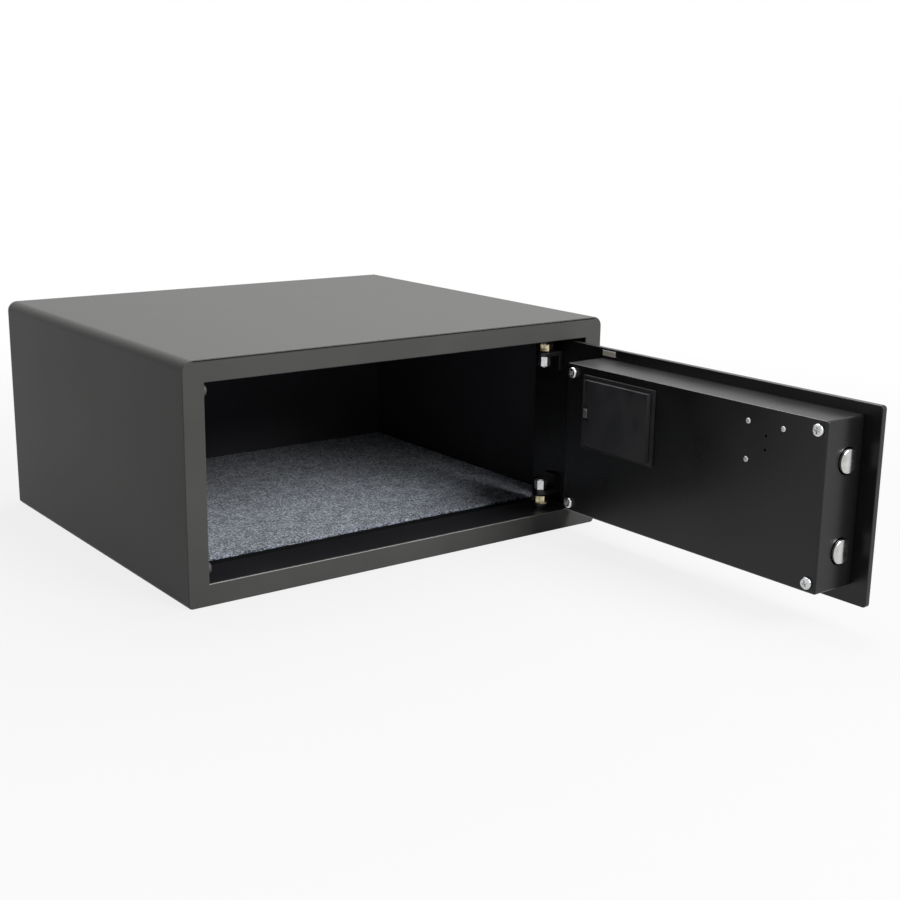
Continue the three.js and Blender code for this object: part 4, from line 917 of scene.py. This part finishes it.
class SAFE_OT_bolts(Step, Operator):
    """Chrome lock bolts, each a round bar with one milled flat and a chamfered nose"""

    bl_idname = "safe.bolts"
    bl_label = "Lock bolts"

    def build(self, scene):
        for name in ("upper", "lower"):
            low, high = door_box(f"lock_bolt_{name}")
            radius = (high.z - low.z) / 2
            axis = (low.y + radius, (low.z + high.z) / 2)
            bolt = add_round(f"chrome_bolt_{name}", radius, "X", low.x, high.x, axis, sides=72)
            milled = {"plane_co": (0, high.y, 0), "plane_no": (0, 1, 0), "clear_outer": True}
            edit_whole(bolt, (bpy.ops.mesh.bisect, {**milled, "use_fill": True}))

            def flat_sides(a, b):
                return both_at(1, high.y)(a, b) and near(a.z, b.z)

            bevel_edges(bolt, flat_sides, 1.7 * MM, 4)
            bevel_edges(bolt, both_at(0, high.x), 1.1 * MM, 4)
            finish_on_door(bolt, "chrome", f"lock_bolt_{name}", body="bolt_work")


class SAFE_OT_battery_box(Step, Operator):
    """Battery tray and its latched lid"""

    bl_idname = "safe.battery_box"
    bl_label = "Battery box"

    def build(self, scene):
        self.make_frame(scene.safe_door)
        self.make_lid()

    def make_frame(self, settings):
        """The tray with a rim that reaches nearly to the lid on all sides but the latch's."""
        tray = copy_node("battery_tray", "battery_frame", DOOR_PLACE)
        low, high = door_box("battery_tray")
        lid_low, lid_high = door_box("battery_lid")
        gap, inset, depth = settings.lid_gap, 1 * MM, 1.1 * MM
        rims = (
            ((lid_high.x + gap, low.z + inset), (high.x - inset, high.z - inset)),
            ((low.x + inset, lid_high.z + gap), (high.x - inset, high.z - inset)),
            ((low.x + inset, low.z + inset), (high.x - inset, lid_low.z - gap)),
        )
        for (left, bottom), (right, top) in rims:
            combine(tray, "UNION", add_block(
                "rim", (left, low.y, bottom), (right, low.y + depth, top)))
        round_edges(tray, 0.35 * MM)
        finish_on_door(tray, "black_plastic", "battery_tray")

    def make_lid(self):
        """The lid, notched at its latch, and the latch's ribbed tab between two slots."""
        lid = copy_node("battery_lid", "battery_cover", DOOR_PLACE)
        low, high = door_box("battery_lid")
        middle = (low.z + high.z) / 2

        def block(name, across, deep, half, shift=0.0):
            """A block at the latch, in millimetres: from where to where across the lid and into
            it, half its height, and how far it lies above the middle."""
            corners = [
                (low.x + x * MM, low.y + y * MM, middle + (shift + z) * MM)
                for x, y, z in zip(across, deep, (-half, half))]
            return add_block(name, *corners)

        combine(lid, "UNION", block("backing", (0.1, 9), (1, 4.7), 12.5))
        combine(lid, "DIFFERENCE", block("notch", (-1, 4.9), (-1, 3.3), 7.2))
        for shift in (-5.6, 5.6):
            combine(lid, "DIFFERENCE", block("slot", (-1, 4.9), (3, 6), 1.5, shift))
        round_edges(lid, 0.5 * MM)
        finish_on_door(lid, "black_plastic", "battery_lid", body="battery_lid")
        tab = block("latch_tab", (0.2, 4.7), (-0.5, 3.4), 4.1)
        for shift in (-2.4, 0, 2.4):
            combine(tab, "UNION", block("rib", (0.9, 4.0), (-0.9, 0), 0.5, shift))
        round_edges(tab, 0.3 * MM)
        # The tab takes the paler ABS as a painted highlight
        finish_on_door(tab, "black_plastic", body="battery_lid", finish="Black ABS with painted highlight")


class SAFE_OT_keypad(Step, Operator):
    """Keypad housing, window, keyhole lid, and keys with printed signs"""

    bl_idname = "safe.keypad"
    bl_label = "Keypad"

    def build(self, scene):
        for node, name, body, slot, edge in (
                ("keypad_housing", "keypad_case", "door", "black_plastic", 0.3 * MM),
                ("display_window", "keypad_window", "door", "window_plastic", 0.3 * MM),
                ("keyhole_lid", "keyhole_cover", "keyhole_lid", "key_plastic", 0.5 * MM)):
            part = round_edges(copy_node(node, name, DOOR_PLACE), edge)
            finish_on_door(part, slot, node, body=body)
        for node in KEY_NODES:
            body = frame["nodes"][node]["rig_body"]
            cap = round_edges(copy_node(node, f"{node}_cap", DOOR_PLACE), 0.5 * MM)
            sign = self.make_sign(node, scene.safe_keypad.legend_height)
            finish_on_door(cap, "key_plastic", node, body=body)
            finish_on_door(sign, "key_plastic", body=body, finish="Pad printing ink")

    def make_sign(self, node, height):
        """A key's sign as a thin layer of ink, which reads from the front of the shut door."""
        type_size = 1.4  # The type's size for each unit of a capital's height
        layer, sunk = 0.04 * MM, 0.02 * MM
        bpy.ops.object.text_add()
        sign = bpy.context.active_object
        sign.data.body = {"key_clear": "C", "key_enter": "E"}.get(node, node[-1])
        sign.data.size = height * type_size
        sign.data.align_x = sign.data.align_y = "CENTER"
        sign.data.extrude = layer
        bpy.ops.object.convert(target="MESH")
        take_new(f"{node}_sign")
        facing = Matrix(((-1, 0, 0, 0), (0, 0, 1, 0), (0, 1, 0, 0), (0, 0, 0, 1)))
        low, high = door_box(node)
        middle = (low + high) / 2
        place = Matrix.Translation((middle.x, high.y - sunk, middle.z))
        sign.data.transform(place @ facing)
        merge = {"threshold": 0.001 * MM}
        return edit_whole(sign, (bpy.ops.mesh.remove_doubles, merge), FACE_OUT)


class SAFE_OT_plain_nodes(Step, Operator):
    """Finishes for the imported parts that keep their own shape"""

    bl_idname = "safe.plain_nodes"
    bl_label = "Remaining parts"

    def build(self, scene):
        slots = {part["node"]: part["material_slot"] for part in frame["record"]["subparts"]}
        for node, part in frame["nodes"].items():
            finish = NODE_FINISHES.get(node, SLOT_FINISHES[slots[node]])
            part.data.materials.clear()
            part.data.materials.append(bpy.data.materials[finish])


# Stage


class SAFE_OT_stage(Step, Operator):
    """Pale floor, white surroundings, soft lamps and the camera"""

    bl_idname = "safe.stage"
    bl_label = "Stage"

    def build(self, scene):
        settings = scene.safe_stage
        floor = add_mesh(
            "floor", bpy.ops.mesh.primitive_plane_add, size=14, location=(0, 0, -0.2 * MM))
        self.paint_floor(floor, settings)
        self.light_world(scene, settings)
        self.place_lamps(settings)
        self.place_camera(scene, settings)
        scene.view_settings.view_transform = "Standard"

    def place_lamps(self, settings):
        """Two soft round lamps that look at the middle of the open safe."""
        lit = Vector((0, -0.15, 0.1))
        for name, place, size, power in (
                ("top_lamp", (0.35, 0.2, 1.5), 1.3, settings.top_light),
                ("front_lamp", (0.42, -1.6, 1.15), 1.0, settings.front_light)):
            bpy.ops.object.light_add(type="AREA", location=place)
            lamp = bpy.context.active_object
            lamp.name = name
            lamp.data.shape = "DISK"
            lamp.data.size = size
            lamp.data.energy = power
            lamp.rotation_euler = (lit - Vector(place)).to_track_quat("-Z", "Y").to_euler()

    def place_camera(self, scene, settings):
        """The camera, at its distance from its target and turned about its line of sight."""
        azimuth, elevation = settings.azimuth, settings.elevation
        back = Vector((
            math.sin(azimuth) * math.cos(elevation), -math.cos(azimuth) * math.cos(elevation),
            math.sin(elevation)))
        right = (-back).cross(Vector((0, 0, 1))).normalized()
        up = right.cross(-back)
        bpy.ops.object.camera_add()
        camera = bpy.context.active_object
        camera.name = "camera"
        camera.data.lens = settings.lens
        camera.data.sensor_width = SENSOR_WIDTH
        facing = Matrix((right, up, back)).transposed().to_4x4()
        place = Matrix.Translation(Vector(settings.target) + back * settings.distance)
        camera.matrix_world = place @ facing @ Matrix.Rotation(settings.roll, 4, "Z")
        scene.camera = camera

    def paint_floor(self, floor, settings):
        """Smooth pale board: it takes a soft shadow, and the camera sees it near to white."""
        material, shader, place = begin_material(
            "Pale studio board", Roughness=0.9, Specular_IOR_Level=0.1)
        mottle = spots(material, place, 40 * MM)
        dress(material, shader, mottle, near_tones(settings.floor_colour, 0.005))
        glow = add_node(material, "Emission", {"Color": WHITE, "Strength": 1.0})
        # The shadow shows near the safe alone, and the board fades to white round it
        distance = add_node(material, "VectorMath", {0: place}, operation="LENGTH")
        fade = add_node(material, "MapRange", {
            "Value": distance.outputs["Value"], "From Min": 0.3, "From Max": 1.1,
            "To Min": 0.84, "To Max": 1.0})
        part = add_node(material, "Math", {
            0: self.seen_directly(material), 1: fade.outputs["Result"]}, operation="MULTIPLY")
        blend = add_node(material, "MixShader", {
            0: part.outputs[0], 1: shader.outputs[0], 2: glow.outputs[0]})
        output = material.node_tree.nodes["Material Output"]
        material.node_tree.links.new(blend.outputs[0], output.inputs["Surface"])
        floor.data.materials.append(material)

    def light_world(self, scene, settings):
        """Even soft light, which the camera sees as white, also in gloss and through glass."""
        world = bpy.data.worlds.new("studio")
        world.use_nodes = True
        scene.world = world
        world.node_tree.nodes.clear()
        soft = add_node(world, "Background", {
            "Color": WHITE, "Strength": settings.surroundings})
        white = add_node(world, "Background", {"Color": WHITE, "Strength": 1.0})
        blend = add_node(world, "MixShader", {
            0: self.seen_directly(world), 1: soft.outputs[0], 2: white.outputs[0]})
        add_node(world, "OutputWorld", {"Surface": blend.outputs[0]})

    def seen_directly(self, owner):
        """1 for rays from the camera, off a glossy face or through glass, and 0 for others."""
        rays = add_node(owner, "LightPath").outputs
        mirrored = add_node(owner, "Math", {
            0: rays["Is Camera Ray"], 1: rays["Is Glossy Ray"]}, operation="ADD")
        total = add_node(owner, "Math", {
            0: mirrored.outputs[0], 1: rays["Is Transmission Ray"]},
            operation="ADD", use_clamp=True)
        return total.outputs[0]


class SAFE_PT_sidebar(Panel):
    """Sizes, colours and steps of the safe"""

    bl_idname = "SAFE_PT_sidebar"
    bl_label = "Room safe"
    bl_space_type = "VIEW_3D"
    bl_region_type = "UI"
    bl_category = "Safe"

    def draw(self, context):
        for title, settings in SETTINGS.items():
            box = self.layout.box()
            box.label(text=title.removeprefix("safe_").title())
            for name in settings.__annotations__:
                box.prop(getattr(context.scene, title), name)
        for step in STEPS:
            self.layout.operator(step.bl_idname)


SETTINGS = {
    "safe_body": BodySettings,
    "safe_door": DoorSettings,
    "safe_keypad": KeypadSettings,
    "safe_stage": StageSettings,
}
STEPS = (
    SAFE_OT_finishes, SAFE_OT_plain_nodes, SAFE_OT_shell, SAFE_OT_stops, SAFE_OT_carpet,
    SAFE_OT_hinges, SAFE_OT_plate, SAFE_OT_cover, SAFE_OT_screws, SAFE_OT_rivets, SAFE_OT_bolts,
    SAFE_OT_battery_box, SAFE_OT_keypad, SAFE_OT_stage)


def register():
    for settings in SETTINGS.values():
        bpy.utils.register_class(settings)
    for name, settings in SETTINGS.items():
        setattr(bpy.types.Scene, name, bpy.props.PointerProperty(type=settings))
    for part in (*STEPS, SAFE_PT_sidebar):
        bpy.utils.register_class(part)


def unregister():
    for part in (SAFE_PT_sidebar, *reversed(STEPS)):
        bpy.utils.unregister_class(part)
    for name, settings in reversed(SETTINGS.items()):
        delattr(bpy.types.Scene, name)
        bpy.utils.unregister_class(settings)


def main():
    register()
    for step in STEPS:
        group, name = step.bl_idname.split(".")
        getattr(getattr(bpy.ops, group), name)()


if __name__ == "__main__":
    main()
